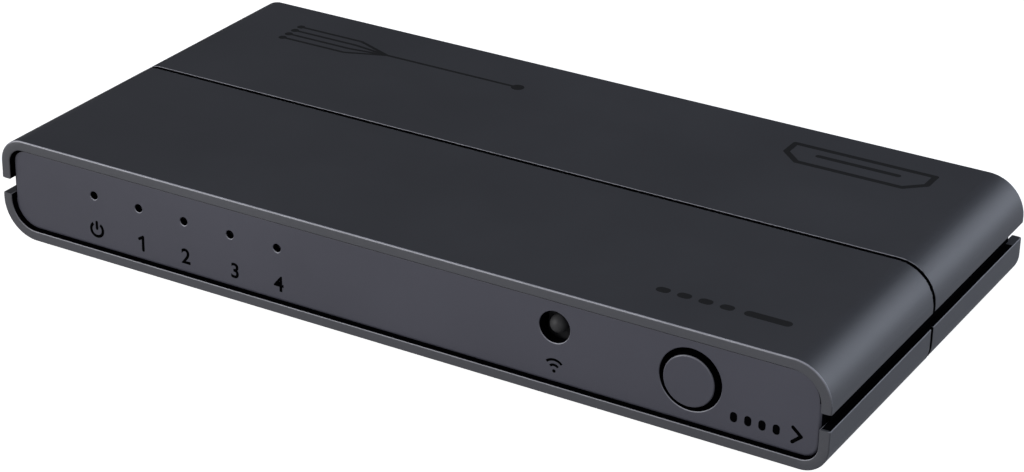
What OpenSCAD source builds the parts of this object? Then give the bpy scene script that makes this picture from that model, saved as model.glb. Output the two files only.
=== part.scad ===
// Four-input, one-output video switch box.
// Two half shells of one section, the lower one turned round, with a shadow slot along both sides,
// a recessed panel at each end, one circuit board with five video ports and a power socket, and a
// select button on the front.
// X runs to the right along the front, Y to the rear and Z up. The origin is on the table,
// below the centre of the case.

/* [Case] */
// Width of the case across its rounded sides
body_w = 145; // [130:0.5:170]
// Depth of the case from the front rim to the rear rim
body_d = 72.5; // [70:0.5:90]
// Height of the two shells together, without the feet
body_h = 17; // [16.8:0.1:20]
// Wall of both shells
wall = 1.65; // [1.4:0.05:2]
// Radius of the long edges at the upper right and the lower left
broad_r = 6.3; // [4.5:0.1:7]
// Radius of the long edges at the upper left and the lower right
tight_r = 4.25; // [3.6:0.05:5]
// Height of the slot along both sides, midway up the case
slot_h = 2.6; // [1.5:0.1:3]
// Width of the groove round both shells at mid depth
groove_w = 0.9; // [0.5:0.1:1.2]
// Depth of the groove round both shells
groove_depth = 0.5; // [0.3:0.05:0.7]
// Depth of the side slots, down to the rails that stand between the panels
slot_depth = 1.25; // [1:0.05:1.4]
// Thickness of the rails behind the side slots
rail_t = 1.2; // [1:0.05:1.4]

/* [End panels] */
// Thickness of the front and rear panels
panel_t = 1.8; // [1.6:0.1:2.2]
// How far the panels lie inside the rims of the shells
panel_recess = 0.8; // [0.7:0.05:2]
// Width of the locating tabs at the foot of each panel
tab_w = 6; // [5:0.5:8]
// Length of the locating tabs
tab_l = 5; // [4:0.5:6]
// Thickness of the locating tabs
tab_t = 1; // [0.8:0.1:1.1]
// Distance of each tab from the middle of the panel
tab_x = 30; // [27:0.5:33]
// Diameter of the pegs that hold the tabs
peg_d = 2; // [1.6:0.1:2.4]
// Length of the ribs that back the panels
rib_l = 44; // [30:1:46]
// Height of the ribs that back the panels
rib_h = 1.2; // [0.8:0.1:1.4]
// Thickness of the ribs that back the panels
rib_t = 1.2; // [1:0.1:1.5]

/* [Feet and screws] */
// Diameter of the rubber feet
foot_d = 9; // [7:0.5:10]
// Height of the feet below the case
foot_h = 1; // [0.8:0.1:2]
// Depth of the pockets that hold the feet
foot_seat = 0.5; // [0.3:0.05:0.8]
// Distance from the sides of the case to the feet's centres
foot_inset_x = 12.5; // [11:0.5:16]
// Distance from the front and rear rims to the feet's centres
foot_inset_y = 8.25; // [7:0.25:9]
// Diameter of the case screws' shanks
screw_d = 2.5; // [2:0.1:2.8]
// Length of the case screws' shanks
screw_l = 8.5; // [7:0.5:10]
// Diameter of the case screws' heads
screw_head_d = 4.6; // [4:0.1:5]
// Height of the case screws' heads
screw_head_h = 1.6; // [1.2:0.1:1.7]
// Wall of the posts round the screw heads
post_wall = 0.9; // [0.8:0.05:1.2]
// Wall of the bosses that the screws bite into
boss_wall = 1.45; // [1.1:0.05:1.8]

/* [Circuit board] */
// Thickness of the circuit board
board_t = 1.6; // [1.2:0.1:1.7]
// Height of the board above the floor of the lower shell
board_rise = 2.2; // [2.1:0.05:2.4]
// Distance from the board's side edges to the screws
screw_inset_x = 6; // [5.5:0.1:7]
// Distance from the board's front edge to the front screws
screw_inset_front = 12; // [11:0.5:14]
// Distance from the board's rear edge to the rear screws
screw_inset_rear = 16.4; // [16:0.2:18]
// How far leads and legs stick out below the board
lead_tail = 0.8; // [0.5:0.05:0.85]

/* [Indicators] */
// Diameter of the indicator lamps
led_d = 3; // [2.6:0.1:3.2]
// Length of an indicator lamp from its tip to its base
led_l = 5; // [4.5:0.1:5.5]
// Distance from the left side of the case to the first indicator
led_inset = 17.8; // [14:0.1:20]
// Spacing of the indicators
led_pitch = 8.7; // [7:0.01:9]
// Height of the indicators above the middle of the case
led_lift = 2.14; // [1:0.02:2.5]
// Diameter of the pinholes in front of the lamps
led_hole_d = 1.4; // [1:0.1:2]
// Thickness of the panel in front of the lamps
led_skin = 0.8; // [0.6:0.05:1]

/* [Remote eye] */
// Diameter of the hole in front of the remote eye
eye_hole_d = 5.1; // [4.5:0.1:5.6]
// Distance from the right side of the case to the remote eye
eye_inset = 44; // [40:0.1:50]
// Height of the remote eye above the middle of the case
eye_lift = 2.26; // [1.3:0.02:2.5]
// Diameter of the eye's lens
eye_lens_d = 2.9; // [2.4:0.1:3.4]
// Width of the eye's block
eye_w = 5; // [4.5:0.1:6]
// Depth of the eye's block
eye_depth = 3; // [2.5:0.1:4]
// Height of the eye's block above its lens centre
eye_crown = 3; // [2.6:0.1:3.4]

/* [Select button] */
// Diameter of the button's cap
button_d = 8.1; // [7:0.1:8.4]
// Gap round the cap in the front panel
button_gap = 0.9; // [0.5:0.05:1]
// How far the flange reaches behind the edge of the hole
button_lap = 0.55; // [0.4:0.05:0.7]
// Thickness of the button's flange
button_flange_t = 1; // [0.8:0.1:1.1]
// How far the cap stands out of the panel
button_proud = 0.6; // [0.4:0.05:1.2]
// Diameter of the button's stem
button_stem_d = 3; // [2.6:0.1:3.4]
// Distance from the right side of the case to the button
button_inset = 22; // [20:0.1:24]
// Height of the button above the middle of the case
button_lift = 0.14; // [-0.4:0.02:0.3]
// Radius of the cap's front edge
button_edge_r = 0.2; // [0.15:0.05:0.6]
// Length of the guide collar behind the panel
collar_l = 1.6; // [1.4:0.05:1.65]
// Wall of the guide collar
collar_wall = 0.8; // [0.6:0.05:1]

/* [Button switch] */
// Width of the switch behind the button
tact_w = 6; // [5.6:0.1:7]
// Depth of the switch behind the button
tact_depth = 3.6; // [3:0.1:4.5]
// Height of the switch above its axis
tact_crown = 2.9; // [2.7:0.1:3.4]
// Distance from the board's front edge to the switch
tact_setback = 3; // [2.8:0.1:4]
// How far the plunger stands out of the switch
tact_reach = 1.2; // [1:0.05:1.4]
// Diameter of the plunger
plunger_d = 2.6; // [2.2:0.1:3]
// Diameter of the snap dome
dome_d = 4; // [3.7:0.1:4.1]
// Rise of the snap dome
dome_rise = 0.5; // [0.42:0.02:0.6]

/* [Rear sockets] */
// Distance from the right side of the case to the output port
port_inset = 36.5; // [35:0.25:38]
// Distance from the left side of the case to the last input port
port_end_inset = 18.5; // [17:0.25:20]
// Width of a port's mouth
port_w = 14; // [13.6:0.1:14.4]
// Height of a port's mouth
port_h = 4.55; // [4.4:0.05:4.8]
// Width of the mouth's lower edge
port_foot_w = 10.3; // [9.8:0.1:10.8]
// Height of the mouth's straight sides
port_side_h = 2.6; // [2.4:0.05:2.8]
// Sheet metal of the port shells
port_sheet = 0.35; // [0.25:0.05:0.45]
// Length of the port shells
port_l = 12; // [11:0.5:13]
// How far the ports stand out of the rear panel
port_proud = 0.5; // [0.3:0.05:0.8]
// Width of the tongue inside a port
tongue_w = 10.7; // [10:0.1:11]
// Thickness of the tongue inside a port
tongue_t = 1.5; // [1.2:0.1:1.8]
// How far the tongue ends inside the mouth
tongue_setback = 2.1; // [1.4:0.1:2.5]
// Distance from the right side of the case to the power socket
power_inset = 14.5; // [13.5:0.25:16]
// Width of the power socket's block
power_w = 7; // [6.8:0.1:7.6]
// Height of the power socket's block
power_h = 6.8; // [6.6:0.1:7.4]
// Length of the power socket's block
power_l = 9; // [8:0.5:11]
// Diameter of the power socket's nose
power_nose_d = 6.4; // [6:0.1:6.5]
// Diameter of the power socket's bore
power_bore_d = 4; // [3.6:0.1:4.2]
// Diameter of the power socket's centre pin
power_pin_d = 1.3; // [1:0.1:1.7]

/* [Hidden] */
$fn = 64;

// Clearances
rail_gap = 0.1;
panel_gap = 0.1;
seat_gap = 0.1;
peg_gap = 0.1;
screw_gap = 0.2;
pilot_gap = 0.05;
head_gap = 0.3;
head_sink = 0.4;
board_side_gap = 1.05;
board_front_gap = 2;
board_rear_gap = 0.6;
lead_gap = 0.2;
led_gap = 0.2;
lens_gap = 0.7;
guide_gap = 0.1;
plunger_gap = 0.1;
dome_gap = 0.2;
port_gap = 0.3;
core_gap = 0.05;
nose_gap = 0.2;
block_gap = 0.2;
cut_over = 1;

// Heights
underside_z = foot_h;
floor_z = underside_z + wall;
crown_z = underside_z + body_h;
roof_z = crown_z - wall;
mid_z = underside_z + body_h / 2;
slot_low_z = mid_z - slot_h / 2;
slot_high_z = slot_low_z + slot_h;
board_low_z = floor_z + board_rise;
board_z = board_low_z + board_t;
lead_low_z = board_low_z - lead_tail;

// Places along the depth
rim_y = body_d / 2;
panel_face_y = rim_y - panel_recess;
panel_back_y = panel_face_y - panel_t;
board_front_y = -panel_back_y + board_front_gap;
board_rear_y = panel_back_y - board_rear_gap;
board_half_w = body_w / 2 - slot_depth - rail_t - board_side_gap;
board_corner_r = 2;

// Panel tabs, pegs and ribs
peg_edge = 1.9;
peg_y = panel_back_y - tab_l + peg_edge;
peg_over = 0.2;
peg_h = tab_t + peg_over;
rail_root = 1.2;

// Screws: posts below the board, bosses above it
screw_x = board_half_w - screw_inset_x;
screw_places = [
    for (side = [-1, 1])
        for (y = [board_front_y + screw_inset_front, board_rear_y - screw_inset_rear])
            [side * screw_x, y]
];
head_pocket_d = screw_head_d + 2 * head_gap;
head_pocket_h = screw_head_h + head_sink;
post_d = head_pocket_d + 2 * post_wall;
screw_hole_d = screw_d + 2 * screw_gap;
pilot_d = screw_d + 2 * pilot_gap;
boss_d = pilot_d + 2 * boss_wall;
screw_seat_z = underside_z + head_pocket_h;
screw_tip_z = screw_seat_z + screw_l;
drive_w = 0.7;
drive_l = 2.6;
drive_depth = 0.9;

// Indicators and remote eye
led_x = [for (i = [0 : 4]) -body_w / 2 + led_inset + i * led_pitch];
led_axis_z = mid_z + led_lift;
led_tip_y = -panel_face_y + led_skin + led_gap;
led_base_y = led_tip_y + led_l;
led_rim = 0.4;
led_rim_t = 1;
lead_w = 0.5;
lead_span = 1.27;
lead_run = 2.2;
lead_hole_d = lead_w * sqrt(2) + 2 * lead_gap;
eye_x = body_w / 2 - eye_inset;
eye_axis_z = mid_z + eye_lift;
eye_face_y = -panel_back_y + lens_gap;
eye_lens_l = 0.9;

// Button and its switch
button_x = body_w / 2 - button_inset;
button_axis_z = mid_z + button_lift;
button_hole_d = button_d + 2 * button_gap;
button_flange_d = button_hole_d + 2 * button_lap;
collar_d = button_flange_d + 2 * guide_gap;
tact_sheet = 0.3;
tact_y = board_front_y + tact_setback;
plunger_tip_y = tact_y - tact_sheet - tact_reach;
plunger_flange_t = 0.6;
plunger_rest_gap = 0.05;
tact_cavity_d = dome_d + 2 * dome_gap;
plunger_flange_d = dome_d;
dome_y = tact_y + plunger_rest_gap + plunger_flange_t + dome_rise;
dome_t = 0.12;
dome_r = (dome_d * dome_d / 4 + dome_rise * dome_rise) / (2 * dome_rise);
tact_leg_w = 1.4;
tact_wing_l = 2.4;

// Video ports: number 0 is the output
port_count = 5;
port_pitch = (body_w - port_inset - port_end_inset) / (port_count - 1);
port_x = [for (i = [0 : port_count - 1]) body_w / 2 - port_inset - i * port_pitch];
port_lift = 0.25;
port_axis_z = board_z + port_lift + port_sheet + port_h / 2;
port_mouth_y = panel_face_y + port_proud;
port_back_y = port_mouth_y - port_l;
port_corner_r = 0.5;
port_points = [
    [-port_w / 2, port_h / 2],
    [-port_w / 2, port_h / 2 - port_side_h],
    [-port_foot_w / 2, -port_h / 2],
    [port_foot_w / 2, -port_h / 2],
    [port_w / 2, port_h / 2 - port_side_h],
    [port_w / 2, port_h / 2]
];
port_leg_w = 1;
port_leg_first = 2.5;
port_leg_pitch = 5;
port_leg_y = [for (i = [0, 1]) port_back_y + port_leg_first + i * port_leg_pitch];
core_l = 3.4;
core_tail_l = 1.5;
core_tail_w = 12.6;
core_tail_top = 1.2;
tongue_lift = 0.15;
tongue_tip_y = port_mouth_y - tongue_setback;
tongue_bevel = 0.3;
contact_pitch = 1;
contact_w = 0.45;
contact_t = 0.1;
contact_inset = 0.5;
contact_rows = [10, 9];
tail_w = 0.26;
tail_t = 0.15;
tail_l = 1.2;

// Power socket
power_x = body_w / 2 - power_inset;
power_axis_z = board_z + power_h / 2;
power_face_y = panel_back_y - block_gap;
power_back_y = power_face_y - power_l;
power_back_wall = 1.6;
power_pin_setback = 0.9;
spring_t = 0.3;
spring_w = 1.8;
spring_slot_h = 0.9;

// Parts on the board
// Parts of the power supply are placed from the power socket, the control chip from the button
chip_w = 14;
chip_h = 1.4;
chip_place = [-4, -2];
control_size = [10, 4, 1.5];
control_offset = [-16, -12];
control_place = [button_x + control_offset.x, control_offset.y];
crystal_place = [20, -3];
regulator_offset = [-14, 10];
regulator_place = [power_x + regulator_offset.x, regulator_offset.y];
choke_offset = [-2, 6];
choke_place = [power_x + choke_offset.x, choke_offset.y];
choke_w = 6;
choke_h = 3;
can_offsets = [[-25, 8], [-5, -6]];
can_places = [for (offset = can_offsets) [power_x + offset.x, offset.y]];
can_d = 5;
can_h = 5.4;
can_base_w = 5.3;
can_base_h = 0.8;
surge_size = [2.6, 1.2, 0.7];
surge_gap = 1.4;
surge_y = port_back_y - core_tail_l - tail_l - surge_gap - surge_size.y / 2;

// Colours
charcoal = [0.25, 0.253, 0.27];
rubber_black = [0.08, 0.08, 0.08];
board_green = [0.05, 0.28, 0.16];
moulding_black = [0.1, 0.1, 0.11];
plated_steel = [0.72, 0.73, 0.74];
gilt = [0.83, 0.68, 0.32];
lamp_smoke = [0.13, 0.13, 0.14];
eye_grey = [0.3, 0.31, 0.35];

// A flat outline with X to the right and Y up, drawn out from depth y0 to depth y1
module along_depth(y0, y1) {
    translate([0, y1, 0])
        rotate([90, 0, 0])
            linear_extrude(y1 - y0) children();
}

// Children that stand on Z turned to face the front from the point given
module facing_front(place) {
    translate(place) rotate([90, 0, 0]) children();
}

// A block from its lowest to its highest corner
module block(low, high) {
    translate(low) cube(high - low);
}

function unit(v) = v / norm(v);

function edge_normal(a, b) = let (run = unit(b - a)) [run.y, -run.x];

// The points of a convex outline, listed anticlockwise, with corners of radius r, grown outward
function rounded_outline(points, r, grow = 0, steps = 3) = [
    for (i = [0 : len(points) - 1])
        let (
            before = edge_normal(points[(i + len(points) - 1) % len(points)], points[i]),
            after = edge_normal(points[i], points[(i + 1) % len(points)]),
            centre = points[i] - r * (before + after) / (1 + before * after),
            start = atan2(before.y, before.x),
            turn = acos(before * after)
        )
            for (k = [0 : steps])
                let (angle = start + turn * k / steps)
                    centre + (r + grow) * [cos(angle), sin(angle)]
];

// Upper half of the case's cross-section about its centre, taken in from the outer surface by inset
module half_outline(inset) {
    half_w = body_w / 2;
    half_h = body_h / 2;
    low = broad_r - half_h;
    translate([half_w - broad_r, half_h - broad_r]) circle(r = broad_r - inset);
    translate([tight_r - half_w, half_h - tight_r]) circle(r = tight_r - inset);
    translate([tight_r - half_w, low])
        square([body_w - tight_r - broad_r, half_h - inset - low]);
    translate([inset - half_w, low])
        square([half_w - inset, half_h - tight_r - low]);
    translate([0, low])
        square([half_w - inset, half_h - broad_r - low]);
}

// Cross-section of the case: the lower half is the upper one turned round
module case_outline(inset) {
    translate([0, mid_z])
        for (turn = [0, 180])
            rotate(turn) half_outline(inset);
}

// The tube that both half shells are cut from, with the groove round its middle
module shell_tube() {
    difference() {
        along_depth(-rim_y, rim_y) case_outline(0);
        along_depth(-rim_y - cut_over, rim_y + cut_over) case_outline(wall);
        difference() {
            along_depth(-groove_w / 2, groove_w / 2) case_outline(-cut_over);
            along_depth(-groove_w, groove_w) case_outline(groove_depth);
        }
    }
}

// Everything between two heights, past the case on all sides
module height_band(low_z, high_z) {
    block(
        [-body_w / 2 - cut_over, -rim_y - cut_over, low_z],
        [body_w / 2 + cut_over, rim_y + cut_over, high_z]
    );
}

// A rib across the case behind each panel
module panel_ribs(low_z, high_z) {
    for (side = [-1, 1])
        translate([-rib_l / 2, side * (panel_back_y - seat_gap - rib_t / 2) - rib_t / 2, low_z])
            cube([rib_l, rib_t, high_z - low_z]);
}

module upper_shell() {
    color(charcoal)
        difference() {
            union() {
                intersection() {
                    shell_tube();
                    height_band(slot_high_z, crown_z + cut_over);
                }
                panel_ribs(roof_z - rib_h, roof_z + wall / 2);
                for (place = screw_places)
                    translate([place.x, place.y, board_z])
                        cylinder(d = boss_d, h = roof_z + wall / 2 - board_z);
            }
            for (place = screw_places)
                translate([place.x, place.y, board_z - cut_over])
                    cylinder(d = pilot_d, h = screw_tip_z - board_z + 2 * cut_over);
        }
}

// The rails behind the side slots between the panels, standing on the lower shell's walls
module slot_rails() {
    rail_end_y = panel_back_y - seat_gap;
    intersection() {
        difference() {
            along_depth(-rail_end_y, rail_end_y) case_outline(slot_depth);
            along_depth(-rim_y, rim_y) case_outline(slot_depth + rail_t);
        }
        height_band(slot_low_z - rail_root, slot_high_z - rail_gap);
    }
}

module lower_shell() {
    color(charcoal)
        difference() {
            union() {
                intersection() {
                    shell_tube();
                    height_band(underside_z - cut_over, slot_low_z);
                }
                slot_rails();
                panel_ribs(floor_z - wall / 2, floor_z + rib_h);
                for (x = [-tab_x, tab_x])
                    for (y = [-peg_y, peg_y])
                        translate([x, y, floor_z - wall / 2]) cylinder(d = peg_d, h = wall / 2 + peg_h);
                for (place = screw_places)
                    translate([place.x, place.y, floor_z - wall / 2])
                        cylinder(d = post_d, h = board_low_z - floor_z + wall / 2);
            }
            for (place = screw_places)
                translate([place.x, place.y, underside_z - cut_over]) {
                    cylinder(d = head_pocket_d, h = cut_over + head_pocket_h);
                    cylinder(d = screw_hole_d, h = cut_over + board_low_z);
                }
            for (x = [-1, 1])
                for (y = [-1, 1])
                    translate([x * (body_w / 2 - foot_inset_x), y * (rim_y - foot_inset_y), 0])
                        cylinder(d = foot_d, h = underside_z + foot_seat);
        }
}

// A panel plate with its two tabs over the pegs on the floor; side is -1 at the front, 1 at the rear
module panel_blank(side) {
    face_y = side * panel_face_y;
    back_y = side * panel_back_y;
    along_depth(min(face_y, back_y), max(face_y, back_y)) case_outline(wall + panel_gap);
    for (x = [-tab_x, tab_x])
        difference() {
            translate([x - tab_w / 2, side > 0 ? back_y - tab_l : back_y, floor_z])
                cube([tab_w, tab_l, tab_t]);
            translate([x, side * peg_y, floor_z - cut_over])
                cylinder(d = peg_d + 2 * peg_gap, h = tab_t + 2 * cut_over);
        }
}

// The ring behind the front panel that guides the button's flange, trimmed to the panel's outline
module button_collar() {
    intersection() {
        facing_front([button_x, -panel_back_y + collar_l, button_axis_z])
            cylinder(d = collar_d + 2 * collar_wall, h = collar_l + panel_t / 2);
        along_depth(-panel_face_y, -panel_back_y + collar_l) case_outline(wall + panel_gap);
    }
}

module front_panel() {
    color(charcoal)
        difference() {
            union() {
                panel_blank(-1);
                button_collar();
            }
            facing_front([button_x, -panel_back_y + collar_l + cut_over, button_axis_z])
                cylinder(d = collar_d, h = collar_l + cut_over);
            facing_front([button_x, -panel_back_y + cut_over, button_axis_z])
                cylinder(d = button_hole_d, h = panel_t + 2 * cut_over);
            facing_front([eye_x, -panel_back_y + cut_over, eye_axis_z])
                cylinder(d = eye_hole_d, h = panel_t + 2 * cut_over);
            for (x = led_x) {
                facing_front([x, -panel_back_y + cut_over, led_axis_z])
                    cylinder(d = led_hole_d, h = panel_t + 2 * cut_over);
                facing_front([x, -panel_back_y + cut_over, led_axis_z])
                    cylinder(d = led_d + 2 * led_gap, h = panel_t - led_skin + cut_over);
            }
        }
}

module rear_panel() {
    color(charcoal)
        difference() {
            panel_blank(1);
            for (x = port_x)
                translate([x, 0, port_axis_z])
                    along_depth(panel_back_y - cut_over, panel_face_y + cut_over)
                        polygon(rounded_outline(port_points, port_corner_r, port_sheet + port_gap));
            facing_front([power_x, panel_face_y + cut_over, power_axis_z])
                cylinder(d = power_nose_d + 2 * nose_gap, h = panel_t + 2 * cut_over);
        }
}

// A slot through the board for a sheet-metal leg, centred on the board's middle
module leg_slot(sheet, leg_w) {
    cube([sheet + 2 * lead_gap, leg_w + 2 * lead_gap, 2 * board_t], center = true);
}

// Holes in the board for the leads of the lamps and the eye
module lead_holes() {
    for (x = led_x)
        for (side = [-1, 1])
            translate([x + side * lead_span, led_base_y + lead_run - lead_w / 2, board_low_z - cut_over])
                cylinder(d = lead_hole_d, h = board_t + 2 * cut_over);
    for (step = [-1, 0, 1])
        translate([eye_x + step * lead_span, eye_face_y + eye_depth / 2, board_low_z - cut_over])
            cylinder(d = lead_hole_d, h = board_t + 2 * cut_over);
}

module main_board() {
    corners = [
        [-board_half_w, board_front_y],
        [board_half_w, board_front_y],
        [board_half_w, board_rear_y],
        [-board_half_w, board_rear_y]
    ];
    color(board_green)
        difference() {
            translate([0, 0, board_low_z])
                linear_extrude(board_t) polygon(rounded_outline(corners, board_corner_r, 0, 6));
            for (place = screw_places)
                translate([place.x, place.y, board_low_z - cut_over])
                    cylinder(d = screw_hole_d, h = board_t + 2 * cut_over);
            for (x = port_x)
                for (side = [-1, 1])
                    for (y = port_leg_y)
                        translate([x + side * (port_w + port_sheet) / 2, y, board_low_z + board_t / 2])
                            leg_slot(port_sheet, port_leg_w);
            for (side = [-1, 1])
                translate([
                    button_x + side * (tact_w + tact_sheet) / 2,
                    tact_y - tact_sheet + tact_wing_l - tact_leg_w / 2,
                    board_low_z + board_t / 2
                ])
                    leg_slot(tact_sheet, tact_leg_w);
            lead_holes();
        }
}

// Cap, flange and stem turned in one profile, measured from the cap's face
module select_button() {
    face_y = -panel_face_y - button_proud;
    flange_back_y = -panel_back_y + button_flange_t;
    cap_l = -panel_back_y - face_y;
    stem_l = plunger_tip_y - flange_back_y;
    color(charcoal)
        facing_front([button_x, plunger_tip_y, button_axis_z])
            rotate_extrude() {
                square([button_stem_d / 2, stem_l]);
                translate([0, stem_l]) square([button_flange_d / 2, button_flange_t]);
                translate([0, stem_l + button_flange_t]) {
                    square([button_d / 2, cap_l - button_edge_r]);
                    square([button_d / 2 - button_edge_r, cap_l]);
                    translate([button_d / 2 - button_edge_r, cap_l - button_edge_r])
                        circle(r = button_edge_r);
                }
            }
}

module tact_body() {
    color(moulding_black)
        difference() {
            block(
                [button_x - tact_w / 2, tact_y, board_z],
                [button_x + tact_w / 2, tact_y + tact_depth, button_axis_z + tact_crown]
            );
            facing_front([button_x, dome_y, button_axis_z])
                cylinder(d = tact_cavity_d, h = dome_y - tact_y + cut_over);
        }
}

// Sheet bracket over the switch, with a wing down each side and a leg through the board
module tact_cover() {
    half_w = tact_w / 2 + tact_sheet;
    front_y = tact_y - tact_sheet;
    color(plated_steel)
        difference() {
            union() {
                block(
                    [button_x - half_w, front_y, board_z],
                    [button_x + half_w, tact_y, button_axis_z + tact_crown]
                );
                for (side = [-1, 1])
                    translate([button_x + side * (tact_w + tact_sheet) / 2 - tact_sheet / 2, front_y, 0]) {
                        block([0, 0, board_z], [tact_sheet, tact_wing_l, button_axis_z + tact_crown]);
                        block(
                            [0, tact_wing_l - tact_leg_w, lead_low_z],
                            [tact_sheet, tact_wing_l, board_z + cut_over]
                        );
                    }
            }
            facing_front([button_x, tact_y + cut_over, button_axis_z])
                cylinder(d = plunger_d + 2 * plunger_gap, h = tact_sheet + 2 * cut_over);
        }
}

module tact_plunger() {
    flange_back_y = dome_y - dome_rise;
    color(moulding_black)
        facing_front([button_x, flange_back_y, button_axis_z]) {
            cylinder(d = plunger_flange_d, h = plunger_flange_t);
            cylinder(d = plunger_d, h = flange_back_y - plunger_tip_y);
        }
}

module tact_dome() {
    color(plated_steel)
        facing_front([button_x, dome_y, button_axis_z])
            rotate_extrude()
                intersection() {
                    translate([0, dome_rise - dome_r])
                        difference() {
                            circle(r = dome_r, $fn = 256);
                            circle(r = dome_r - dome_t, $fn = 256);
                        }
                    square([dome_d / 2 + cut_over, dome_rise + cut_over]);
                }
}

// Receiver block with a domed lens, standing on the board on three legs
module remote_eye() {
    color(eye_grey) {
        block(
            [eye_x - eye_w / 2, eye_face_y, board_z],
            [eye_x + eye_w / 2, eye_face_y + eye_depth, eye_axis_z + eye_crown]
        );
        facing_front([eye_x, eye_face_y + eye_depth / 2, eye_axis_z]) {
            cylinder(d = eye_lens_d, h = eye_depth / 2 + eye_lens_l);
            translate([0, 0, eye_depth / 2 + eye_lens_l]) sphere(d = eye_lens_d);
        }
        for (step = [-1, 0, 1])
            translate([eye_x + step * lead_span, eye_face_y + eye_depth / 2, lead_low_z])
                translate([-lead_w / 2, -lead_w / 2, 0])
                    cube([lead_w, lead_w, board_z - lead_low_z + cut_over]);
    }
}

// A domed lamp facing the front, with two leads bent down through the board
module indicator(number) {
    color(lamp_smoke)
        translate([led_x[number], 0, 0]) {
            facing_front([0, led_base_y, led_axis_z]) {
                cylinder(d = led_d + 2 * led_rim, h = led_rim_t);
                cylinder(d = led_d, h = led_l - led_d / 2);
                translate([0, 0, led_l - led_d / 2]) sphere(d = led_d);
            }
            for (side = [-1, 1])
                translate([side * lead_span - lead_w / 2, led_base_y, led_axis_z - lead_w / 2]) {
                    translate([0, -led_rim_t / 2, 0]) cube([lead_w, led_rim_t / 2 + lead_run, lead_w]);
                    translate([0, lead_run - lead_w, lead_low_z - led_axis_z + lead_w / 2])
                        cube([lead_w, lead_w, led_axis_z - lead_low_z]);
                }
        }
}

// Folded sheet shell of one video port, with four legs through the board
module port_shell(number) {
    color(plated_steel)
        translate([port_x[number], 0, port_axis_z]) {
            along_depth(port_back_y, port_mouth_y)
                difference() {
                    polygon(rounded_outline(port_points, port_corner_r, port_sheet));
                    polygon(rounded_outline(port_points, port_corner_r));
                }
            for (side = [-1, 1])
                for (y = port_leg_y)
                    translate([side * (port_w + port_sheet) / 2, y, lead_low_z - port_axis_z])
                        translate([-port_sheet / 2, -port_leg_w / 2, 0])
                            cube([port_sheet, port_leg_w, port_axis_z + port_h / 4 - lead_low_z]);
        }
}

// Moulded core of one video port: a plug in the shell's rear, a tail on the board and a bevelled tongue
module port_core(number) {
    half_t = tongue_t / 2;
    tongue_root_y = port_back_y + core_l - cut_over;
    color(moulding_black)
        translate([port_x[number], 0, port_axis_z]) {
            along_depth(port_back_y, port_back_y + core_l)
                polygon(rounded_outline(port_points, port_corner_r, -core_gap));
            block(
                [-core_tail_w / 2, port_back_y - core_tail_l, board_z - port_axis_z],
                [core_tail_w / 2, port_back_y, core_tail_top]
            );
            translate([-tongue_w / 2, 0, tongue_lift])
                rotate([90, 0, 90])
                    linear_extrude(tongue_w)
                        polygon([
                            [tongue_root_y, -half_t],
                            [tongue_tip_y - tongue_bevel, -half_t],
                            [tongue_tip_y, -half_t + tongue_bevel],
                            [tongue_tip_y, half_t - tongue_bevel],
                            [tongue_tip_y - tongue_bevel, half_t],
                            [tongue_root_y, half_t]
                        ]);
        }
}

// Contact strips above and below every tongue, and their tails on the board
module port_contacts() {
    strip_y0 = port_back_y + core_l;
    strip_l = tongue_tip_y - contact_inset - strip_y0;
    color(gilt)
        for (x = port_x)
            for (row = [0, 1])
                for (i = [0 : contact_rows[row] - 1]) {
                    along = (i - (contact_rows[row] - 1) / 2) * contact_pitch;
                    from_mid = row == 0 ? tongue_t / 2 : -tongue_t / 2 - contact_t;
                    strip_z = port_axis_z + tongue_lift + from_mid;
                    translate([x + along - contact_w / 2, strip_y0, strip_z])
                        cube([contact_w, strip_l, contact_t]);
                    translate([x + along - tail_w / 2, port_back_y - core_tail_l - tail_l, board_z])
                        cube([tail_w, tail_l, tail_t]);
                }
}

module power_socket() {
    nose_l = port_mouth_y - power_face_y;
    bore_l = port_mouth_y - power_back_y - power_back_wall;
    spring_slot_z = power_axis_z - power_bore_d / 2 - spring_slot_h;
    color(moulding_black)
        difference() {
            union() {
                block(
                    [power_x - power_w / 2, power_back_y, board_z],
                    [power_x + power_w / 2, power_face_y, board_z + power_h]
                );
                facing_front([power_x, port_mouth_y, power_axis_z])
                    cylinder(d = power_nose_d, h = nose_l + power_l / 2);
            }
            facing_front([power_x, port_mouth_y + cut_over, power_axis_z])
                cylinder(d = power_bore_d, h = bore_l + cut_over);
            facing_front([power_x, power_back_y + power_back_wall + cut_over, power_axis_z])
                cylinder(d = power_pin_d, h = power_back_wall + 2 * cut_over);
            block(
                [power_x - spring_w / 2, power_back_y - cut_over, spring_slot_z],
                [power_x + spring_w / 2, power_face_y - power_l / 4, power_axis_z]
            );
        }
}

module power_pin() {
    tip_y = port_mouth_y - power_pin_setback;
    color(plated_steel)
        facing_front([power_x, tip_y - power_pin_d / 2, power_axis_z]) {
            cylinder(d = power_pin_d, h = tip_y - power_pin_d / 2 - power_back_y);
            sphere(d = power_pin_d);
        }
}

// Leaf that presses on a plug's sleeve, with its tail down to the board behind the block
module power_spring() {
    leaf_z = power_axis_z - power_bore_d / 2 - spring_slot_h;
    tail_y = power_back_y - seat_gap - spring_t;
    color(plated_steel) {
        block(
            [power_x - spring_w / 2 + seat_gap, tail_y, leaf_z],
            [power_x + spring_w / 2 - seat_gap, power_face_y - power_l / 4 - seat_gap, leaf_z + spring_t]
        );
        block(
            [power_x - spring_w / 2 + seat_gap, tail_y, board_z],
            [power_x + spring_w / 2 - seat_gap, tail_y + spring_t, leaf_z + spring_t]
        );
    }
}

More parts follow.
